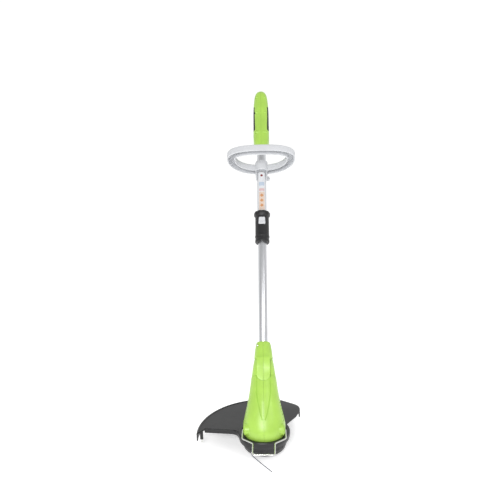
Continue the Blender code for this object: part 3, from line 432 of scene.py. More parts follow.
HEAD_R, HEAD_H, SHANK_R = 0.0032, 0.0022, 0.0014
THREAD_PITCH, THREAD_DEPTH = 0.0012, 0.0003


def screw(length):
    """A pan-head screw with a six-lobed socket; its head's top is at z = 0."""
    profile = fillet([
        (0, 0, 0), (HEAD_R, 0, 0.0005), (HEAD_R, -HEAD_H, 0), (SHANK_R, -HEAD_H, 0.0003),
    ], False, 3)
    for n in range(2, int(length / THREAD_PITCH)):
        turn = -THREAD_PITCH * n
        profile += [(SHANK_R, turn - 0.0002), (SHANK_R - THREAD_DEPTH, turn - 0.0008)]
    profile += [(SHANK_R, -length + 0.001), (0.0004, -length), (0, -length)]
    body = lathe(profile, 36)
    lobes = lathe([(0, 0.001), (0.0015, 0.001), (0.0015, -0.0012), (0, -0.0012)], 36,
                  lambda r, z, a: r + 0.0003 * math.cos(6 * a) if r > 0.001 else r)
    return cut(body, lobes)


def screw_hole(length, well=0.0, head_r=HEAD_R):
    """Room for a screw, with a well as deep as asked above its head."""
    wide, thin = head_r + GAP, SHANK_R + GAP
    return lathe([(0, well), (wide, well), (wide, -HEAD_H - GAP), (thin, -HEAD_H - GAP),
                  (thin, -length - GAP), (0, -length - GAP)], 36)


def side_screw(length, y, z, seat):
    return stood(screw(length), (-1, 0, 0), (-seat, y, z))


def side_screw_hole(length, y, z, seat, well, head_r=HEAD_R):
    return stood(screw_hole(length, well, head_r), (-1, 0, 0), (-seat, y, z))


# ---------------------------------------------------------------- rear handle
# Each row: across, along, the distance from the seam to its head's seat, and its boss's half length.
HANDLE_SCREWS = (
    (-0.018, 0.961, 0.01, 0.014), (-0.018, 0.905, 0.01, 0.016),
    (-0.018, 0.835, 0.0105, 0.016), (0.074, 0.905, 0.019, 0.016),
)
HANDLE_SCREW_REACH = 0.01
SCREW_BOSS_R = 0.0042
HANDLE_WALL = 0.0026
GRIP_RUN = 0.02
LOCK_OFF_Y, LOCK_OFF_L, LOCK_OFF_BORE_R = 0.002, 0.925, 0.0068
INLET_L, INLET_Y, INLET_R, INLET_DEPTH = 0.946, 0.085, 0.0158, 0.018
TRIGGER_L = (0.878, 0.948)
HOLE_MIDDLE = Vector((0.043, 0.908))


def handle_outline(inset=0.0):
    i = inset
    top, foot = HANDLE_L1 - i, HANDLE_L0 + i
    return fillet([
        (-0.0205 + i, foot, 0.004), (0.0205 - i, foot, 0.004), (0.03 - i, foot + 0.022, 0.012),
        (0.086 - i, foot + 0.06, 0.024 - i), (0.088 - i, top - 0.022, 0.024 - i),
        (0.03, top, 0.04), (-0.0235 + i, top, 0.022 - i), (-0.0225 + i, foot + 0.1, 0.06),
    ], True, 12)


def finger_hole(inset=0.0):
    i = inset
    return fillet([
        (0.0215 - i, HANDLE_L0 + 0.063 - i, 0.01 + i), (0.064 + i, HANDLE_L0 + 0.082 - i, 0.014 + i),
        (0.065 + i, HANDLE_L1 - 0.044 + i, 0.016 + i), (0.0215 - i, HANDLE_L1 - 0.03 + i, 0.012 + i),
    ], True, 10)


def grip_outline(grow=0.0):
    g = grow
    return fillet([
        (-0.0158 - g, 0.842 - g, 0.004), (0.0085 + g, 0.852 - g, 0.005),
        (0.0105 + g, 0.918 + g, 0.004), (-0.015 - g, 0.936 + g, 0.006),
    ], True, 6)


def ray_hit(outline, direction):
    """Where a ray from the middle of the finger hole last meets a closed outline."""
    reach = 0.0
    for i, point in enumerate(outline):
        a = Vector(outline[i - 1]) - HOLE_MIDDLE
        edge = Vector(point) - HOLE_MIDDLE - a
        across = direction.cross(edge)
        if abs(across) > 1e-12:
            share = a.cross(direction) / across
            distance = a.cross(edge) / across
            if -1e-9 <= share <= 1 + 1e-9 and distance > reach:
                reach = distance
    return HOLE_MIDDLE + direction * reach


def handle_width(along):
    """The handle's half width: full at the grip, and drawn in towards both of its ends."""
    near_top = max(0.0, 1 - (HANDLE_L1 - along) / 0.09)
    near_foot = max(0.0, 1 - (along - HANDLE_L0) / 0.04)
    return HANDLE_HALF_WIDTH * (1 - 0.4 * near_top**2.2 - 0.12 * near_foot**2)


def handle_ring(inset=0.0, stations=180, around=56):
    """The handle is a closed ring round the finger hole, with an oval section that varies."""
    outer, inner = handle_outline(inset), finger_hole(inset)
    rows = []
    for a in turns(stations):
        direction = Vector(polar(1, a))
        far, near = ray_hit(outer, direction), ray_hit(inner, direction)
        middle, half = (far + near) / 2, (far - near) / 2
        wide = handle_width(middle.y) - inset
        row = []
        for t in turns(around, 0.5):
            c, s = polar(1, t)
            spot = middle + half * squarish(c, 2.4)
            row.append((wide * squarish(s, 2.4), spot.x, spot.y))
        rows.append(row)
    return skin(rows, closed_rows=True)


def handle_foot():
    """The round foot that the tube enters."""
    rows = []
    for up, half in ((0.0, 0.0192), (0.0008, 0.0203), (0.012, 0.0215), (0.058, 0.0225)):
        rows.append([polar(half, a, HANDLE_L0 + up) for a in turns(96, 0.5)])
    return skin(rows)


def side_slab(outlines, thickness, bevel=0.0, x=0.0, resolution=4):
    return moved(slab(outlines, thickness, bevel, resolution), Matrix.Translation((x, 0, 0)) @ SIDE_VIEW)


def grip_prism(side, start, grow=0.0):
    """The grip pad's outline, run out sideways from a distance off the seam."""
    return side_slab([grip_outline(grow)], GRIP_RUN, 0, side * (start + GRIP_RUN / 2))


def handle_tools(side, grip_core):
    """What is cut from one handle shell, apart from its screws' holes."""
    trigger_low, trigger_high = TRIGGER_L
    return [
        rod(UPPER_TUBE_R + GAP, HANDLE_L0 - 0.01, UPPER_TUBE_L1 + 0.004, 0, 72),
        block((0.0142, 0.022, trigger_high - trigger_low + 0.002), (0, 0.021, sum(TRIGGER_L) / 2), 0.0015),
        stood(rod(INLET_R + GAP, -INLET_DEPTH - GAP, 0.01, 0, 64), (0, 1, 0), (0, INLET_Y, INLET_L)),
        cross_rod(LOCK_OFF_BORE_R, 0.03, LOCK_OFF_Y, LOCK_OFF_L, 48),
        cut(grip_prism(side, 0.0178, GAP), grip_core),
    ]


def grip_groove(side, z):
    """One slanting groove across a grip pad."""
    outline = fillet([
        (-0.02, z, 0.0003), (0.008, z - 0.002, 0.0003),
        (0.008, z - 0.0008, 0.0003), (-0.02, z + 0.0012, 0.0003),
    ], True, 3)
    return side_slab([outline], 0.03, 0, side * 0.03)


def grip_pad(side, grip_skin):
    pad = solid_step(grip_prism(side, 0.0181), [grip_skin], "INTERSECT")
    pad = cut(pad, handle_ring(0.0012))
    core = handle_ring(0.0008)
    grooves = [cut(grip_groove(side, 0.853 + 0.005 * n), core.copy()) for n in range(14)]
    return cut(pad, *grooves)


def handle():
    outer = fuse(cut(handle_ring(), handle_ring(HANDLE_WALL, 120, 32)), handle_foot())
    grip_core, grip_skin = handle_ring(0.0016), handle_ring(0.0002)
    for side, word in ((-1, "left"), (1, "right")):
        shell = outer.copy()
        tools = handle_tools(side, grip_core.copy())
        for y, z, seat, half in HANDLE_SCREWS:
            shell = fuse(shell, cross_rod(SCREW_BOSS_R, half, y, z, 28))
            tools.append(side_screw_hole(seat + HANDLE_SCREW_REACH, y, z, seat, 0.02, 0.0037))
        shell = cut(shell, *tools, half_space(side))
        piece("rear_handle_" + word, on_shaft(shell), GREEN, "handle", ["handle_shell_" + word], SEAM)
        pad = grip_pad(side, grip_skin.copy())
        piece("grip_pad_" + word, on_shaft(pad), GRIP, "handle", ["grip_inset_" + word])
    for n, (y, z, seat, half) in enumerate(HANDLE_SCREWS):
        made = side_screw(seat + HANDLE_SCREW_REACH, y, z, seat)
        piece(f"handle_fastener_{n + 1}", on_shaft(made), STEEL, "handle", [f"handle_screw_{n + 1}"])


def handle_fittings():
    floor = 0.003 - INLET_DEPTH
    inner_r = INLET_R - 0.0023
    cup = lathe(fillet([
        (0, floor, 0), (inner_r, floor, 0.001), (inner_r, 0.004, 0.0006), (INLET_R, 0.004, 0.0008),
        (INLET_R, -INLET_DEPTH, 0.001), (0, -INLET_DEPTH, 0),
    ], False, 4), 72)
    cup = stood(cup, (0, 1, 0), (0, INLET_Y, INLET_L))
    piece("mains_inlet", on_shaft(cup), BLACK, "handle", ["inlet_socket"])
    for side, word in ((-1, "left"), (1, "right")):
        size = (0.0015, 0.0135, 0.0063)
        blade = block(size, (side * 0.0063, INLET_Y + floor + GAP + size[1] / 2, INLET_L), 0.0004)
        piece("inlet_pin_" + word, on_shaft(blade), STEEL, "handle", ["inlet_blade_" + word])
    bends = [(0, 0.0905, 0.905), (0, 0.099, 0.909), (0, 0.1015, 0.916), (0, 0.1015, 0.926)]
    piece("lead_hook", on_shaft(wire(smooth(bends, 8), 0.0022)), DARK, "handle", ["cord_hook"])


def smooth(points, per_span):
    return [Vector(p) for p in spline_rows(points, per_span)]


def trigger():
    low, high = TRIGGER_L
    shape = fillet([
        (0.0125, low + 0.004, 0.002), (0.03, low + 0.003, 0.004), (0.029, high - 0.03, 0.03),
        (0.0225, high - 0.004, 0.003), (0.0125, high - 0.003, 0.002),
    ], True, 8)
    blade = side_slab([shape], 0.013, 0.002)
    notches = [cross_rod(0.0012, 0.01, 0.03 - 0.0002 * n, low + 0.01 + 0.005 * n, 24) for n in range(6)]
    # Room for the trigger's spring.
    pocket = block((0.0084, 0.008, 0.011), (0, 0.0125, 0.898))
    piece("trigger_lever", on_shaft(cut(blade, pocket, *notches)), DARK, "trigger", ["trigger"])
    ends = fillet([
        (0, 0.0228, 0), (0.0042, 0.022, 0.002), (0.0064, 0.0224, 0.0007),
        (0.0064, -0.0224, 0.0007), (0.0042, -0.022, 0.002), (0, -0.0228, 0),
    ], False, 4)
    button = stood(lathe(ends, 56), (1, 0, 0), (0, LOCK_OFF_Y, LOCK_OFF_L))
    piece("lock_off_bolt", on_shaft(button), DARK, "lock_off", ["lock_off_button"])


# ---------------------------------------------------------------- shaft
def tubes():
    upper = ring(UPPER_TUBE_R, UPPER_TUBE_R - 0.0011, UPPER_TUBE_L0, UPPER_TUBE_L1, 0.0003, 96)
    lower = ring(LOWER_TUBE_R, LOWER_TUBE_R - 0.0015, LOWER_TUBE_L0, LOWER_TUBE_L1, 0.0004, 96)
    piece("shaft_upper", on_shaft(upper), TUBE, "handle", ["upper_tube"])
    piece("shaft_lower", on_shaft(lower), TUBE, "lower_shaft", ["lower_tube"])
    label()


def wrapped(outline_x, z0, z1, rows, lift, thick=0.00006, steps=24):
    """A patch wrapped on the upper tube; outline_x gives its half width at a share of its height."""
    front, back = [], []
    for k in range(rows + 1):
        z = z0 + (z1 - z0) * k / rows
        half = outline_x(k / rows)
        angles = [half / UPPER_TUBE_R * (2 * i / steps - 1) for i in range(steps + 1)]
        for out, radius in ((front, UPPER_TUBE_R + lift + thick), (back, UPPER_TUBE_R + lift)):
            out.append([(radius * math.sin(a), -radius * math.cos(a), z) for a in angles])
    work = bmesh.new()
    sheets = [[[work.verts.new(p) for p in row] for row in side] for side in (front, back)]
    for side in sheets:
        for low, high in zip(side, side[1:]):
            for i in range(steps):
                work.faces.new((low[i], low[i + 1], high[i + 1], high[i]))
    near, far = sheets
    for i in range(steps):
        work.faces.new((near[0][i], near[0][i + 1], far[0][i + 1], far[0][i]))
        work.faces.new((near[-1][i], near[-1][i + 1], far[-1][i + 1], far[-1][i]))
    for low in range(rows):
        for i in (0, steps):
            work.faces.new((near[low][i], near[low + 1][i], far[low + 1][i], far[low][i]))
    return mesh_from(work)


def label():
    """A plain label with generic shapes: a panel, a dot, two bands and three diamonds."""
    low, middle, high = 0.00003, 0.00011, 0.00019
    strip = wrapped(lambda s: 0.0115, 0.577, 0.7, 24, low)
    piece("label_strip", on_shaft(strip), PAPER, "handle")
    panel = wrapped(lambda s: 0.0084, 0.578, 0.636, 16, middle)
    piece("label_panel", on_shaft(panel), PEACH, "handle")
    half = 0.0052
    for n, z in enumerate((0.5925, 0.6085, 0.6245)):
        mark = wrapped(lambda s: 0.0003 + half * (1 - abs(2 * s - 1)), z - half, z + half, 12, high)
        piece(f"label_diamond_{n + 1}", on_shaft(mark), ORANGE, "handle")
    for name, z0, z1, finish in (("pink", 0.639, 0.647, PINK), ("blue", 0.656, 0.668, BLUE)):
        stripe = wrapped(lambda s: 0.008, z0, z1, 6, middle)
        piece("label_band_" + name, on_shaft(stripe), finish, "handle")
    dot = wrapped(lambda s: 0.0002 + 0.0034 * math.sqrt(max(0, 1 - (2 * s - 1)**2)),
                  0.686, 0.693, 12, middle)
    piece("label_dot", on_shaft(dot), MAROON, "handle")


def button_outline(grow=0.0):
    g = grow
    return fillet([
        (-0.0098 - g, 0.531 - g, 0.003), (0.0098 + g, 0.531 - g, 0.003),
        (0.0085 + g, 0.552 + g, 0.003), (-0.0085 - g, 0.552 + g, 0.003),
    ], True, 8)


def front_slab(outline, y0, y1, bevel=0.0):
    return moved(slab([outline], y1 - y0, bevel), Matrix.Translation((0, (y0 + y1) / 2, 0)) @ FRONT_VIEW)


def collar():
    """The locking collar: fine ribs round its grip, and a flange with a scalloped rim."""
    bore, seat = UPPER_TUBE_R + GAP, 0.0163
    profile = fillet([
        (0.015, COLLAR_L1, 0.0006), (0.0226, COLLAR_L1 - 0.0005, 0.002), (0.0232, COLLAR_L1 - 0.006, 0.003),
        (0.0222, COLLAR_L1 - 0.0115, 0.002), (0.0194, COLLAR_L1 - 0.015, 0.003),
        (0.0194, 0.501, 0.0006), (0.0204, 0.5, 0.0006),
        (0.0204, 0.4975, 0.0006), (0.0194, 0.4965, 0.0006),
        (0.0194, COLLAR_L0 + 0.0095, 0.0008), (0.0201, COLLAR_L0 + 0.008, 0.0008),
        (0.0201, COLLAR_L0 + 0.0022, 0.0012), (0.0184, COLLAR_L0, 0.0006),
        (LOWER_TUBE_R + GAP, COLLAR_L0, 0.0004), (LOWER_TUBE_R + GAP, COLLAR_L0 + 0.004, 0.0003),
        (seat, COLLAR_L0 + 0.004, 0.0003), (seat, UPPER_TUBE_L0 - 0.001, 0.0003),
        (bore, UPPER_TUBE_L0 + 0.004, 0.0003), (bore, COLLAR_L1 - 0.001, 0.0003),
    ], True, 4)

    def wave(r, z, a):
        if r > 0.0205 and z > COLLAR_L1 - 0.014:
            return r - 0.0008 * (1 - math.cos(10 * a)) / 2
        return r

    sleeve = lathe(profile, 240, wave)
    window = front_slab(button_outline(GAP), -0.0271, -0.0151)
    flutes = []
    for a in turns(26, 0.5):
        if abs(math.remainder(a + math.pi / 2, 2 * math.pi)) < math.radians(36):
            continue
        groove = rod(0.0007, COLLAR_L0 + 0.014, COLLAR_L1 - 0.02, 0.0003, 12)
        flutes.append(shifted(groove, *polar(0.0197, a, 0)))
    piece("lock_collar", on_shaft(cut(sleeve, window, *flutes)), DARK, "collar", ["collar_sleeve"])
    button = front_slab(button_outline(), -0.0214, -0.017, 0.0007)
    split = block((0.026, 0.0036, 0.0022), (0, -0.0214, 0.5385))
    piece("release_key", on_shaft(cut(button, split)), LIGHT, "release", ["release_button"])


# ---------------------------------------------------------------- front handle
def loop_path():
    path = []
    for c, s in (polar(1, a) for a in turns(220)):
        square, reach = (2.5, LOOP_WIDEST - LOOP_FRONT) if s < 0 else (2.15, LOOP_REAR - LOOP_WIDEST)
        x, y = LOOP_HALF_WIDTH * squarish(c, square), LOOP_WIDEST + reach * squarish(s, square)
        path.append(Vector((x, y, 0)))
    return path


def loop_section():
    half, deep, wall = LOOP_BAND / 2, LOOP_DEPTH / 2, 0.0034
    return fillet([
        (half, -deep, 0.0012), (half, deep, 0.0065), (-half, deep, 0.0065), (-half, -deep, 0.0012),
        (wall - half, -deep, 0.001), (wall - half, deep - 0.0036, 0.004),
        (half - wall, deep - 0.0036, 0.004), (half - wall, -deep, 0.001),
    ], True, 6)


def sweep_loop(path, section):
    rows = []
    for i, point in enumerate(path):
        along = (path[(i + 1) % len(path)] - path[i - 1]).normalized()
        outward = Vector((along.y, -along.x, 0))
        rows.append([point + outward * r + Vector((0, 0, z)) for r, z in section])
    return skin(rows, closed_rows=True)


def loop_band():
    """The front handle's band, a channel with small ribs across it."""
    path = loop_path()
    band = sweep_loop(path, loop_section())
    ribs = []
    for k in range(0, len(path), 9):
        along = (path[(k + 1) % len(path)] - path[k - 1]).normalized()
        turn = Matrix.Rotation(math.atan2(along.y, along.x), 4, "Z")
        rib = block((0.0012, 0.004, 0.003), (0, 0.0045 - LOOP_BAND / 2, -0.009))
        ribs.append(moved(rib, Matrix.Translation(path[k]) @ turn))
    return shifted(fuse(band, *ribs), 0, 0, LOOP_L)


def front_handle():
    bore_r, hole_r, sleeve_r = UPPER_TUBE_R + GAP, 0.0028, 0.0185
    sleeve = lathe(fillet([
        (0, CLAMP_L1, 0), (sleeve_r, CLAMP_L1, 0.0015), (sleeve_r, CLAMP_L0, 0.0012), (0, CLAMP_L0, 0),
    ], False, 5), 96)
    tongue = block((0.011, 0.012, 0.036), (0, 0.0242, KNOB_L + 0.007), 0.0015)
    bore = rod(bore_r, CLAMP_L0 - 0.01, CLAMP_L1 + 0.01, 0, 96)
    hole = cross_rod(hole_r, 0.03, KNOB_Y, KNOB_L, 32)
    made = cut(fuse(loop_band(), sleeve, tongue), bore, hole.copy())
    piece("front_handle", on_shaft(made), LIGHT, "loop", ["loop_handle"], 0.0004)
    jaw = lathe(fillet([
        (0.0176, CLAMP_L0 - GAP, 0.0006), (0.0176, JAW_L0 + 0.01, 0.004), (0.0152, JAW_L0, 0.0006),
        (bore_r, JAW_L0, 0.0004), (bore_r, CLAMP_L0 - GAP, 0.0004),
    ], True, 5), 96)
    lugs = [block((0.005, 0.0165, 0.02), (side * 0.0086, 0.0215, KNOB_L), 0.0014) for side in (-1, 1)]
    mouth = block((0.029, 0.03, 0.06), (0, -0.0215, JAW_L0 + 0.014))
    piece("clamp_saddle", on_shaft(cut(fuse(jaw, *lugs), mouth, hole)), LIGHT, "loop", ["clamp_jaw"], 0.0003)


def clamp():
    """The bolt and the knob that draw the front handle's clamp together."""
    bolt = lathe(fillet([
        (0, 0.0245, 0), (0.0025, 0.0245, 0.0004), (0.0025, -0.0116, 0), (0.005, -0.0116, 0.0002),
        (0.005, -0.015, 0.0012), (0, -0.015, 0),
    ], False, 3), 48)
    profile = fillet([
        (KNOB_R - 0.0015, 0.0235, 0.0008), (KNOB_R, 0.022, 0.001), (KNOB_R, 0.014, 0.0012),
        (0.005, 0.0117, 0.0006), (0.0028, 0.0117, 0.0003), (0.0028, 0.0235, 0.0003),
    ], True, 4)
    knob = lathe(profile, 96, lambda r, z, a: r - 0.001 * (1 - math.cos(7 * a)) / 2 if r > 0.0055 else r)
    bolt, knob = (stood(mesh, (1, 0, 0), (0, KNOB_Y, KNOB_L)) for mesh in (bolt, knob))
    piece("clamp_stud", on_shaft(bolt), STEEL, "loop", ["clamp_bolt"])
    piece("clamp_handwheel", on_shaft(knob), LIGHT, "knob", ["clamp_knob"])


# ---------------------------------------------------------------- neck and head
def oval(centre, lean, half_width, half_depth, square):
    """A squarish oval round a point (y, z), square to a leaning axis."""
    points = []
    for c, s in (polar(1, a) for a in turns(96, 0.5)):
        x, d = half_width * squarish(c, square), half_depth * squarish(s, square)
        points.append((x, centre[0] + d * math.cos(lean), centre[1] - d * math.sin(lean)))
    return points


# Each row: centre y, centre z, lean in degrees, half width, half depth.
HOUSING_SPINE = (
    (0.0, HOUSING_Z0, 0, 0.053, 0.053),
    (0.001, 0.07, 3, 0.0525, 0.0525),
    (0.009, 0.088, 11, 0.0485, 0.048),
    (0.021, 0.109, 20, 0.0428, 0.0425),
    (0.035, 0.13, 28, 0.0378, 0.038),
    (0.05, 0.15, 34, 0.0342, 0.0342),
    (0.061, 0.165, 36, 0.0318, 0.032),
)
# Each row: y, z, the distance from the seam to its head's seat, its boss's half length, its well's depth.
HOUSING_SCREWS = ((-0.03, 0.088, 0.02, 0.025, 0.002), (0.045, 0.095, 0.03, 0.0325, 0.03))
HOUSING_SCREW_LENGTH = 0.04
# Its length, y, its place along the shaft, and the distance from the seam to its head's seat.
NECK_SCREW = (0.029, -0.0165, 0.185, 0.0165)
PIN_R, EAR_GAP = 0.004, 0.0006
VENTS = 8


def housing_rings(shrink=0.0, per_span=7):
    rows = []
    for y, z, lean, w, d in spline_rows(HOUSING_SPINE, per_span):
        square = 2.0 + 0.25 * min(1.0, max(0.0, (lean - 2) / 8))
        rows.append(oval((y, z), math.radians(lean), w - shrink, d - shrink, square))
    return rows


def barrel(radius, half_length, edge=0.0, steps=120):
    return stood(rod(radius, -half_length, half_length, edge, steps), (1, 0, 0), PIVOT)


def ear_rings():
    rows = []
    table = ((-0.026, 0.0325), (-0.01, 0.03), (0.006, 0.0278), (0.02, 0.0255), (0.03, 0.0234))
    for height, half in spline_rows(table, 6):
        depth = math.sqrt(max(BARREL_R**2 - height**2, 0.0001))
        centre = ON_SHAFT @ Vector((0, 0, PIVOT_L + height))
        rows.append(oval((centre.y, centre.z), SHAFT_LEAN, half, depth, 2.6))
    return rows


def neck_rings():
    table = (
        (PIVOT_L - 0.004, 0.0262, 0.03), (0.15, 0.0243, 0.0285), (0.166, 0.023, 0.0262),
        (0.18, 0.0212, 0.0235), (NECK_TOP_L - 0.006, 0.0194, 0.0212),
        (NECK_TOP_L - 0.001, 0.0176, 0.0192), (NECK_TOP_L, 0.016, 0.0175),
    )
    rows = []
    for l, w, d in spline_rows(table, 5):
        centre = ON_SHAFT @ Vector((0, 0, l))
        rows.append(oval((centre.y, centre.z), SHAFT_LEAN, w, d, 2.4))
    return rows


def tongue_outline(grow=0.0):
    half = TONGUE_HALF + grow
    foot = [(half * math.cos(a), TONGUE_L0 + TONGUE_HALF + half * math.sin(a))
            for a in (math.pi * (1 + k / 32) for k in range(33))]
    return [(-half, TONGUE_L1 + grow), *foot, (half, TONGUE_L1 + grow)]


def neck():
    for side, word in ((-1, "left"), (1, "right")):
        outside = stood(rod(BARREL_R + EAR_GAP, TONGUE_HALF, 0.06, 0, 120), (side, 0, 0), PIVOT)
        plate = on_shaft(front_slab(tongue_outline(), -TONGUE_FRONT, -TONGUE_BACK, 0.0009))
        root = on_shaft(block((2 * TONGUE_HALF, 0.015, 0.027), (0, -0.029, 0.138), 0.0009))
        shell = fuse(cut(skin(neck_rings()), outside), barrel(BARREL_R, TONGUE_HALF, 0.0009), root, plate)
        holes = [
            on_shaft(rod(LOWER_TUBE_R + GAP, LOWER_TUBE_L0 - GAP, NECK_TOP_L + 0.01, 0, 72)),
            on_shaft(rod(0.007, PIVOT_L + 0.006, LOWER_TUBE_L0 + 0.001, 0, 40)),
            barrel(PIN_R + GAP, 0.06, 0, 40),
            on_shaft(side_screw_hole(*NECK_SCREW, 0.01)),
            half_space(side),
        ]
        piece("neck_cover_" + word, cut(shell, *holes), GREEN, "lower_shaft", ["neck_shell_" + word], SEAM)
    piece("neck_fastener", on_shaft(side_screw(*NECK_SCREW)), STEEL, "lower_shaft", ["neck_screw"])
    piece("tilt_pin", barrel(PIN_R, 0.0268, 0.0004, 48), STEEL, "lower_shaft", ["pivot_pin"])


def ridge_half(share):
    """The rib's half width, from its point at 0 to the tongue's at 1."""
    return 0.0004 + 0.0166 * min(1.0, share * 1.75) ** 0.62


def ridge_rows():
    """Each row: the spine's numbers where the rib runs, and how far along the rib it is."""
    low, high = 0.0885, HOUSING_SPINE[-1][1]
    for y, z, lean, w, d in spline_rows(HOUSING_SPINE, 9):
        if z >= low:
            yield y, z, math.radians(lean), w, d, (z - low) / (high - low)


def front_of(x, w, d):
    return d * max(0.0, 1 - abs(x / w) ** 2.25) ** (1 / 2.25)


def ridge():
    """The raised rib that runs on from the tongue and ends in a point."""
    rows = []
    for y, z, lean, w, d, share in ridge_rows():
        half, proud = ridge_half(share), 0.0001 + 0.004 * min(1.0, share * 2.4)
        row = []
        for k in range(33):
            u = 2 * k / 32 - 1
            out = proud * (1 - 0.55 * u * u) if 0 < k < 32 else -0.006
            front = front_of(half * u, w, d) + out
            row.append((half * u, y - front * math.cos(lean), z + front * math.sin(lean)))
        rows.append(row)
    return skin(rows)


def ridge_groove(side):
    """A fine channel along one edge of the rib."""
    path = []
    for y, z, lean, w, d, share in ridge_rows():
        x = side * (ridge_half(share) + 0.0005)
        front = front_of(x, w, d) + 0.0001
        path.append((x, y - front * math.cos(lean), z + front * math.sin(lean)))
    return wire(path, 0.0013, 3)


def wire_boss(side):
    """The round boss on the housing that holds one end of the flower guard."""
    step = BOSS_FACE - 0.001
    boss = lathe(fillet([
        (0, BOSS_FACE, 0), (0.0078, BOSS_FACE, 0.0006), (0.0086, step, 0.0004), (0.0112, step, 0.0006),
        (BOSS_R, BOSS_FACE - 0.0034, 0.0018), (BOSS_R, 0.026, 0), (0, 0.026, 0),
    ], False, 5), 88)
    return stood(boss, (side, 0, 0), (0, BOSS_Y, BOSS_Z))


def wire_way(side):
    """The stepped bore in that boss."""
    bore_r, wide_r = WIRE_R + GAP, 0.0036
    way = fillet([
        (0, 0.06, 0), (wide_r, 0.06, 0), (wide_r, 0.0465, 0.0008), (bore_r, 0.0465, 0),
        (bore_r, 0.0415, 0), (0, 0.0415, 0),
    ], False, 3)
    return stood(lathe(way, 40), (side, 0, 0), (0, BOSS_Y, BOSS_Z))


def housing():
    for side, word in ((-1, "left"), (1, "right")):
        hollow_rows = housing_rings(HOUSING_WALL)[:-7]
        hollow_rows[0] = [(x, y, z - 0.004) for x, y, z in hollow_rows[0]]
        shell = fuse(skin(housing_rings()), skin(ear_rings()), ridge(), wire_boss(side))
        shell = cut(shell, skin(hollow_rows))
        pillars = [cross_rod(SCREW_BOSS_R, half, y, z, 24) for y, z, seat, half, well in HOUSING_SCREWS]
        shell = fuse(shell, *pillars)
        tools = [
            barrel(BARREL_R + EAR_GAP, TONGUE_HALF + GAP),
            on_shaft(front_slab(tongue_outline(GAP), -0.07, -TONGUE_BACK + GAP)),
            on_shaft(block((2 * (TONGUE_HALF + GAP), 0.06, 0.07), (0, -0.03, 0.143))),
            barrel(PIN_R + GAP, 0.0272, 0, 40),
            wire_way(side),
            ridge_groove(side),
        ]
        for y, z, seat, half, well in HOUSING_SCREWS:
            tools.append(side_screw_hole(HOUSING_SCREW_LENGTH, y, z, seat, well))
        tools += [vent(side, n) for n in range(VENTS)]
        tools.append(half_space(side))
        piece("motor_cover_" + word, cut(shell, *tools), GREEN, "head", ["housing_" + word], SEAM)
    for n, (y, z, seat, half, well) in enumerate(HOUSING_SCREWS):
        fixing = side_screw(HOUSING_SCREW_LENGTH, y, z, seat)
        piece(f"motor_cover_fastener_{n + 1}", fixing, STEEL, "head", [f"housing_screw_{n + 1}"])


def vent(side, n):
    """A slit in the housing's side, level with the others in a slanting column."""
    share = n / (VENTS - 1)
    slit = block((0.03, 0.02, 0.0019), (0, 0, 0), 0.0006, 2)
    slit = moved(slit, Matrix.Rotation(math.radians(-8 - 14 * share), 4, "X"))
    return shifted(slit, side * (0.048 - 0.012 * share), -0.004 + 0.026 * share, 0.083 + 0.041 * share)


# ---------------------------------------------------------------- guard
# The guard's open corner on the right, from the hub to where its arc starts.
RIGHT_CORNER = (
    (0.0587, 0.0392), (0.0825, 0.0758), (0.0925, 0.103), (0.0938, 0.116), (0.0915, 0.1265),
    (0.085, 0.1365), (0.069, 0.148),
)

# The front edge, from the left corner to the hub: x, y and how low its wall comes.
FRONT_EDGE = (
    (-0.1516, 0.0103, 0.04), (-0.12, 0.007, 0.04), (-0.088, 0.0034, 0.04),
    (-0.0764, 0.0012, 0.0398), (-0.069, -0.004, 0.0394), (-0.0645, -0.012, 0.0388),
    (-0.062, -0.021, 0.0382), (-0.0592, -0.031, 0.0376), (-0.0546, -0.04, 0.037),
    (-0.0482, -0.0476, 0.0366), (-0.04, -0.053, 0.0363), (-0.0315, -0.054, 0.0362),
)


HUB_BORE_R, GUARD_SCREW_LENGTH, CUTTER_X = 0.0085, 0.004, -0.159


def guard_arc(radius):
    sweep = GUARD_TO - GUARD_FROM
    return [Vector(polar(radius, GUARD_FROM + sweep * k / 96)) for k in range(97)]


def right_corner():
    return [Vector(p) for p in spline_rows(RIGHT_CORNER[1:], 6)]


def guard_outline():
    edge = [tuple(row[:2]) for row in spline_rows(FRONT_EDGE, 5)]
    return [tuple(p) for p in guard_arc(GUARD_R - 0.0004)] + edge + [
        (0.0, -0.03), (0.045, 0.005), RIGHT_CORNER[0], *(tuple(p) for p in right_corner())]


def inward_at(line, i):
    """The direction square to a line at one of its points, towards its left."""
    along = (line[min(i + 1, len(line) - 1)] - line[max(i - 1, 0)]).normalized()
    return Vector((-along.y, along.x))


def offset_line(line, inset):
    return [point + inward_at(line, i) * inset for i, point in enumerate(line)]


def band(line, wall):
    """A closed outline as wide as a wall, on the left of a line."""
    return [tuple(p) for p in line + offset_line(line, wall)[::-1]]


def front_wall():
    """The wall under the front edge, which reaches lower as it nears the hub."""
    rows, stations = [], spline_rows(FRONT_EDGE, 5)
    spots = [Vector(row[:2]) for row in stations]
    high, round_off = GUARD_Z1 - 0.0002, 0.0009
    for i, spot in enumerate(spots):
        low = stations[i][2]
        section = fillet([
            (0, low, round_off), (0, high, round_off),
            (SKIRT_WALL, high, 0.0002), (SKIRT_WALL, low, round_off),
        ], True, 3)
        inward = inward_at(spots, i)
        rows.append([(*(spot + inward * u), z) for u, z in section])
    return skin(rows)


def guard_bead():
    """A low rounded bead on the guard's top, a little inside its edge."""
    edge = [Vector(row[:2]) for row in spline_rows(FRONT_EDGE[:9], 6)]
    lines = []
    for line, inset in ((edge, 0.0042), (guard_arc(GUARD_R)[4:-2], 0.005)):
        inner = [(*point, GUARD_Z1 - 0.0004) for point in offset_line(line, inset)]
        lines.append(wire(inner, 0.0015, 4))
    return lines


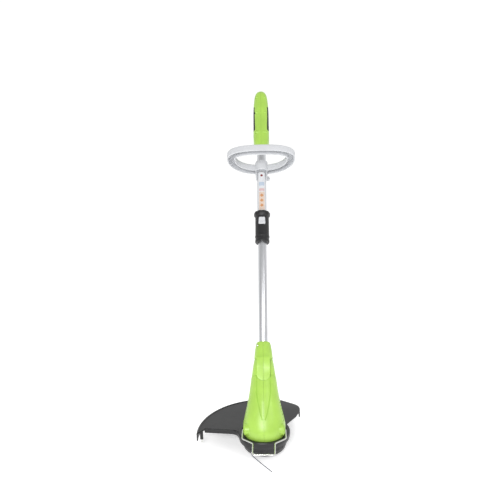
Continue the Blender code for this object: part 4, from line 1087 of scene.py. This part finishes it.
def guard_hub():
    """The round hub in the guard's middle, with a rim that holds the housing."""
    under, top = GUARD_Z0 - 0.0003, GUARD_Z1 - 0.0004
    return lathe(fillet([
        (HUB_R - 0.0012, RIM_Z, 0.0008), (HUB_R, RIM_Z - 0.002, 0.001), (HUB_R, 0.043, 0.004),
        (HUB_R - 0.0016, HUB_Z0, 0.0008), (HUB_R - 0.0046, HUB_Z0, 0.0006),
        (HUB_R - 0.0032, under, 0.0006), (HUB_BORE_R, under, 0.0004), (HUB_BORE_R, top, 0.0004),
        (0.056, top, 0.0004), (0.056, RIM_Z, 0.0006),
    ], True, 5), 160)


def line_cutter():
    edge = fillet([
        (-0.003, -0.0145, 0.0008), (0.003, -0.0145, 0.0008),
        (0.003, 0.0145, 0.001), (-0.003, 0.0145, 0.001),
    ], True, 4)
    blade = moved(slab([edge], 0.0012, 0.0002, 1), FRONT_VIEW)
    blade = shifted(blade, CUTTER_X, 0.0087, 0.0285)
    piece("line_cutter", blade, STEEL, "head", ["line_blade"])


def guard():
    plate = slab([guard_outline()], GUARD_Z1 - GUARD_Z0, 0.0012, 4)
    plate = shifted(plate, 0, 0, (GUARD_Z0 + GUARD_Z1) / 2)
    depth = GUARD_Z1 - 0.0006 - SKIRT_Z0
    skirt_line = right_corner()[7:-1] + guard_arc(GUARD_R)
    skirt = shifted(slab([band(skirt_line, SKIRT_WALL)], depth, 0.001, 3), 0, 0, SKIRT_Z0 + depth / 2)
    prong = block((0.008, 0.0036, 0.0235), (CUTTER_X, 0.006, 0.0365), 0.0008)
    ribs = []
    for n in range(7):
        a = math.radians(72 + 16 * n)
        rib = block((GUARD_R - HUB_R - 0.006, 0.0016, 0.006), ((GUARD_R + HUB_R) / 2, 0, GUARD_Z0 - 0.002))
        ribs.append(moved(rib, Matrix.Rotation(a, 4, "Z")))
    made = fuse(plate, guard_hub(), skirt, front_wall(), prong, *guard_bead(), *ribs)
    tools = [rod(HUB_BORE_R, 0.0, 0.1, 0, 48)]
    for n in range(3):
        a = math.radians(90 + 120 * n)
        place = polar(0.04, a, GUARD_Z0 - 0.0005)
        tools.append(stood(screw_hole(GUARD_SCREW_LENGTH), (0, 0, -1), place))
        fixing = stood(screw(GUARD_SCREW_LENGTH), (0, 0, -1), place)
        piece(f"guard_fastener_{n + 1}", fixing, STEEL, "head", [f"guard_screw_{n + 1}"])
    piece("cutting_guard", cut(made, *tools), DARK, "head", ["guard"], 0.0003)
    line_cutter()


# ---------------------------------------------------------------- spool
EYE_R = 0.0036

# The free line, from the eyelet's mouth to its cut end.
LINE_ROUTE = (
    (-0.0286, -0.0456, 0.018), (-0.0303, -0.0484, 0.018), (-0.0312, -0.0515, 0.0179),
    (-0.0304, -0.0552, 0.0176), (-0.0275, -0.06, 0.0171), (-0.0222, -0.0668, 0.0164),
    (-0.015, -0.0765, 0.0157), (-0.007, -0.0872, 0.0152), (0.001, -0.0976, 0.0148),
    (0.0095, -0.1086, 0.0146), (0.0176, -0.1194, 0.0145),
)


def spool():
    inner_r = SPOOL_R - 0.003
    cup = lathe(fillet([
        (0.018, 0.04, 0.0008), (0.05, 0.0385, 0.003), (SPOOL_R, 0.034, 0.003), (SPOOL_R, 0.023, 0.004),
        (0.0518, 0.012, 0.005), (0.042, 0.0052, 0.003), (0.0215, 0.0052, 0.0008), (0.0215, 0.008, 0.0006),
        (0.0405, 0.008, 0.002), (0.0488, 0.014, 0.003), (inner_r, 0.024, 0.002),
        (inner_r, 0.033, 0.001), (0.0485, 0.0355, 0.001),
        (0.0043, 0.0365, 0.0002), (0.0043, 0.04, 0.0004),
    ], True, 4), 144)
    way = math.atan2(LINE_ROUTE[0][1], LINE_ROUTE[0][0])
    outward = Vector(polar(1, way, 0))
    port = stood(rod(EYE_R + GAP, 0.046, 0.07, 0, 40), outward, (0, 0, LINE_Z))
    notches = []
    for a in turns(24, 0.5):
        groove = rod(0.0016, 0.0235, 0.035, 0.0004, 16)
        notches.append(shifted(groove, *polar(SPOOL_R + 0.0008, a, 0)))
    piece("spool_case", cut(cup, port, *notches), BLACK, "spool_head", ["spool_housing"])
    eye = lathe(fillet([
        (EYE_R, 0.0562, 0.001), (EYE_R, 0.0495, 0.0003), (0.0016, 0.0495, 0.0003), (0.0016, 0.0562, 0.0008),
    ], True, 5), 48)
    piece("line_eyelet", stood(eye, outward, (0, 0, LINE_Z)), STEEL, "spool_head", ["eyelet"])
    profile = fillet([
        (0, 0.024, 0), (0.0105, 0.024, 0.0008), (0.0105, 0.0098, 0.0004), (0.0205, 0.0092, 0.0008),
        (0.0205, 0.006, 0.002), (0.018, 0.002, 0.003), (0.013, 0.0, 0.003), (0, 0, 0),
    ], False, 5)

    def scallops(r, z, a):
        if r > 0.0165 and z < 0.0085:
            return r - 0.0007 * (1 - math.cos(12 * a)) / 2
        return r

    piece("bump_head", lathe(profile, 96, scallops), BLACK, "bump", ["bump_knob"])


def free_line():
    line = round_curve("free_line", smooth(LINE_ROUTE, 6), LINE_R, 6)
    line.materials.append(LINE)
    made = linked("free_line", line)
    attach(made, "spool_head")
    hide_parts("cutting_line")


# ---------------------------------------------------------------- flower guard
# One side's bends, from the end in the boss to the front; a bend starts and ends a little off its corner.
BEND_REACH = 0.0045
WIRE_BENDS = ((0.0425, BOSS_Y), (0.0526, BOSS_Y), (0.0526, -0.0667), (0.0262, -0.088), (0.0257, -0.1356))


def wire_guard():
    right = [Vector((x, y, BOSS_Z)) for x, y in WIRE_BENDS]
    corners = right + [Vector((-p.x, p.y, p.z)) for p in reversed(right)]
    path = [corners[0]]
    for before, here, after in zip(corners, corners[1:], corners[2:]):
        start = here + (before - here).normalized() * BEND_REACH
        end = here + (after - here).normalized() * BEND_REACH
        path += [start * (1 - t)**2 + here * 2 * t * (1 - t) + end * t * t for t in (k / 8 for k in range(9))]
    path.append(corners[-1])
    piece("flower_guard_wire", wire(path, WIRE_R, 6), WIRE, "flower_guard", ["wire_guard"])


# ---------------------------------------------------------------- hidden pieces
def inner_finishes():
    """The CAD nodes that stay as they are get their own procedural finishes."""
    finishes = {
        "switch_body": BLACK, "trigger_spring": STEEL, "collet": LIGHT, "slide_plug": DARK,
        "motor_can": STEEL, "motor_end_cap": DARK, "lower_bearing": STEEL, "upper_bearing": STEEL,
        "rotor_shaft": STEEL, "rotor": COPPER, "cooling_fan": DARK, "spool": DARK, "line_coil": LINE,
        "spool_spring": STEEL,
    }
    for name, finish in finishes.items():
        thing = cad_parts[name]
        thing.data.materials.clear()
        thing.data.materials.append(finish)


# ---------------------------------------------------------------- stage
CAMERA_TARGET = Vector((-0.0239, 0, 0.516))
CAMERA_DISTANCE = 1.395
CAMERA_PITCH = math.radians(13.27)
CAMERA_TURN = math.radians(-2.26)
CAMERA_ROLL = math.radians(-1.54)
CAMERA_LENS = 43.2
FLOOR_GLOW = 0.42
SKY_FADE = {"From Min": -0.3, "From Max": 0.6, "To Min": 0.46, "To Max": 1.05}
LIGHT_SIZE, KEY_POWER, FILL_POWER = 0.8, 42, 9


def camera():
    ahead = Vector((
        math.sin(CAMERA_TURN) * math.cos(CAMERA_PITCH),
        math.cos(CAMERA_TURN) * math.cos(CAMERA_PITCH),
        -math.sin(CAMERA_PITCH),
    ))
    level = Vector((math.cos(CAMERA_TURN), -math.sin(CAMERA_TURN), 0))
    rise = level.cross(ahead)
    right = level * math.cos(CAMERA_ROLL) + rise * math.sin(CAMERA_ROLL)
    up = rise * math.cos(CAMERA_ROLL) - level * math.sin(CAMERA_ROLL)
    seen = bpy.data.cameras.new("camera")
    seen.lens = CAMERA_LENS
    seen.sensor_width = 36
    seen.clip_start = 0.05
    made = linked("camera", seen)
    turn = Matrix((right, up, -ahead)).transposed().to_4x4()
    made.matrix_world = Matrix.Translation(CAMERA_TARGET - ahead * CAMERA_DISTANCE) @ turn
    bpy.context.scene.camera = made


def area_light(name, place, aim, power):
    lamp = bpy.data.lights.new(name, "AREA")
    lamp.shape = "RECTANGLE"
    lamp.size = lamp.size_y = LIGHT_SIZE
    lamp.energy = power
    made = linked(name, lamp)
    made.location = place
    made.rotation_euler = (Vector(aim) - Vector(place)).to_track_quat("-Z", "Y").to_euler()


def ground():
    finish, _, shader = nodes_of("floor", (0.9, 0.9, 0.9), 0.9)
    shader.inputs["Emission Color"].default_value = (1, 1, 1, 1)
    shader.inputs["Emission Strength"].default_value = FLOOR_GLOW
    work = bmesh.new()
    bmesh.ops.create_grid(work, x_segments=1, y_segments=1, size=30)
    made = linked("floor", mesh_from(work, outward=False))
    made.data.materials.append(finish)


def sky():
    """A backdrop that is brightest behind the object as the photo sees it."""
    world = bpy.data.worlds.new("studio")
    world.use_nodes = True
    tree = world.node_tree
    place = tree.nodes.new("ShaderNodeTexCoord")
    split = tree.nodes.new("ShaderNodeSeparateXYZ")
    fade = tree.nodes.new("ShaderNodeMapRange")
    for socket, value in SKY_FADE.items():
        fade.inputs[socket].default_value = value
    background = tree.nodes["Background"]
    tree.links.new(place.outputs["Generated"], split.inputs["Vector"])
    tree.links.new(split.outputs["Y"], fade.inputs["Value"])
    tree.links.new(fade.outputs["Result"], background.inputs["Strength"])
    background.inputs["Color"].default_value = (1, 1, 1, 1)
    bpy.context.scene.world = world


def stage():
    ground()
    sky()
    bpy.context.scene.view_settings.view_transform = "Standard"
    area_light("key", (-0.35, -2.2, 1.5), (0, 0.1, 0.4), KEY_POWER)
    area_light("fill", (1.4, -1.2, 1.8), (0, 0.2, 0.4), FILL_POWER)


camera()
free_line()
handle()
handle_fittings()
trigger()
tubes()
collar()
front_handle()
clamp()
neck()
housing()
guard()
spool()
wire_guard()
inner_finishes()
stage()
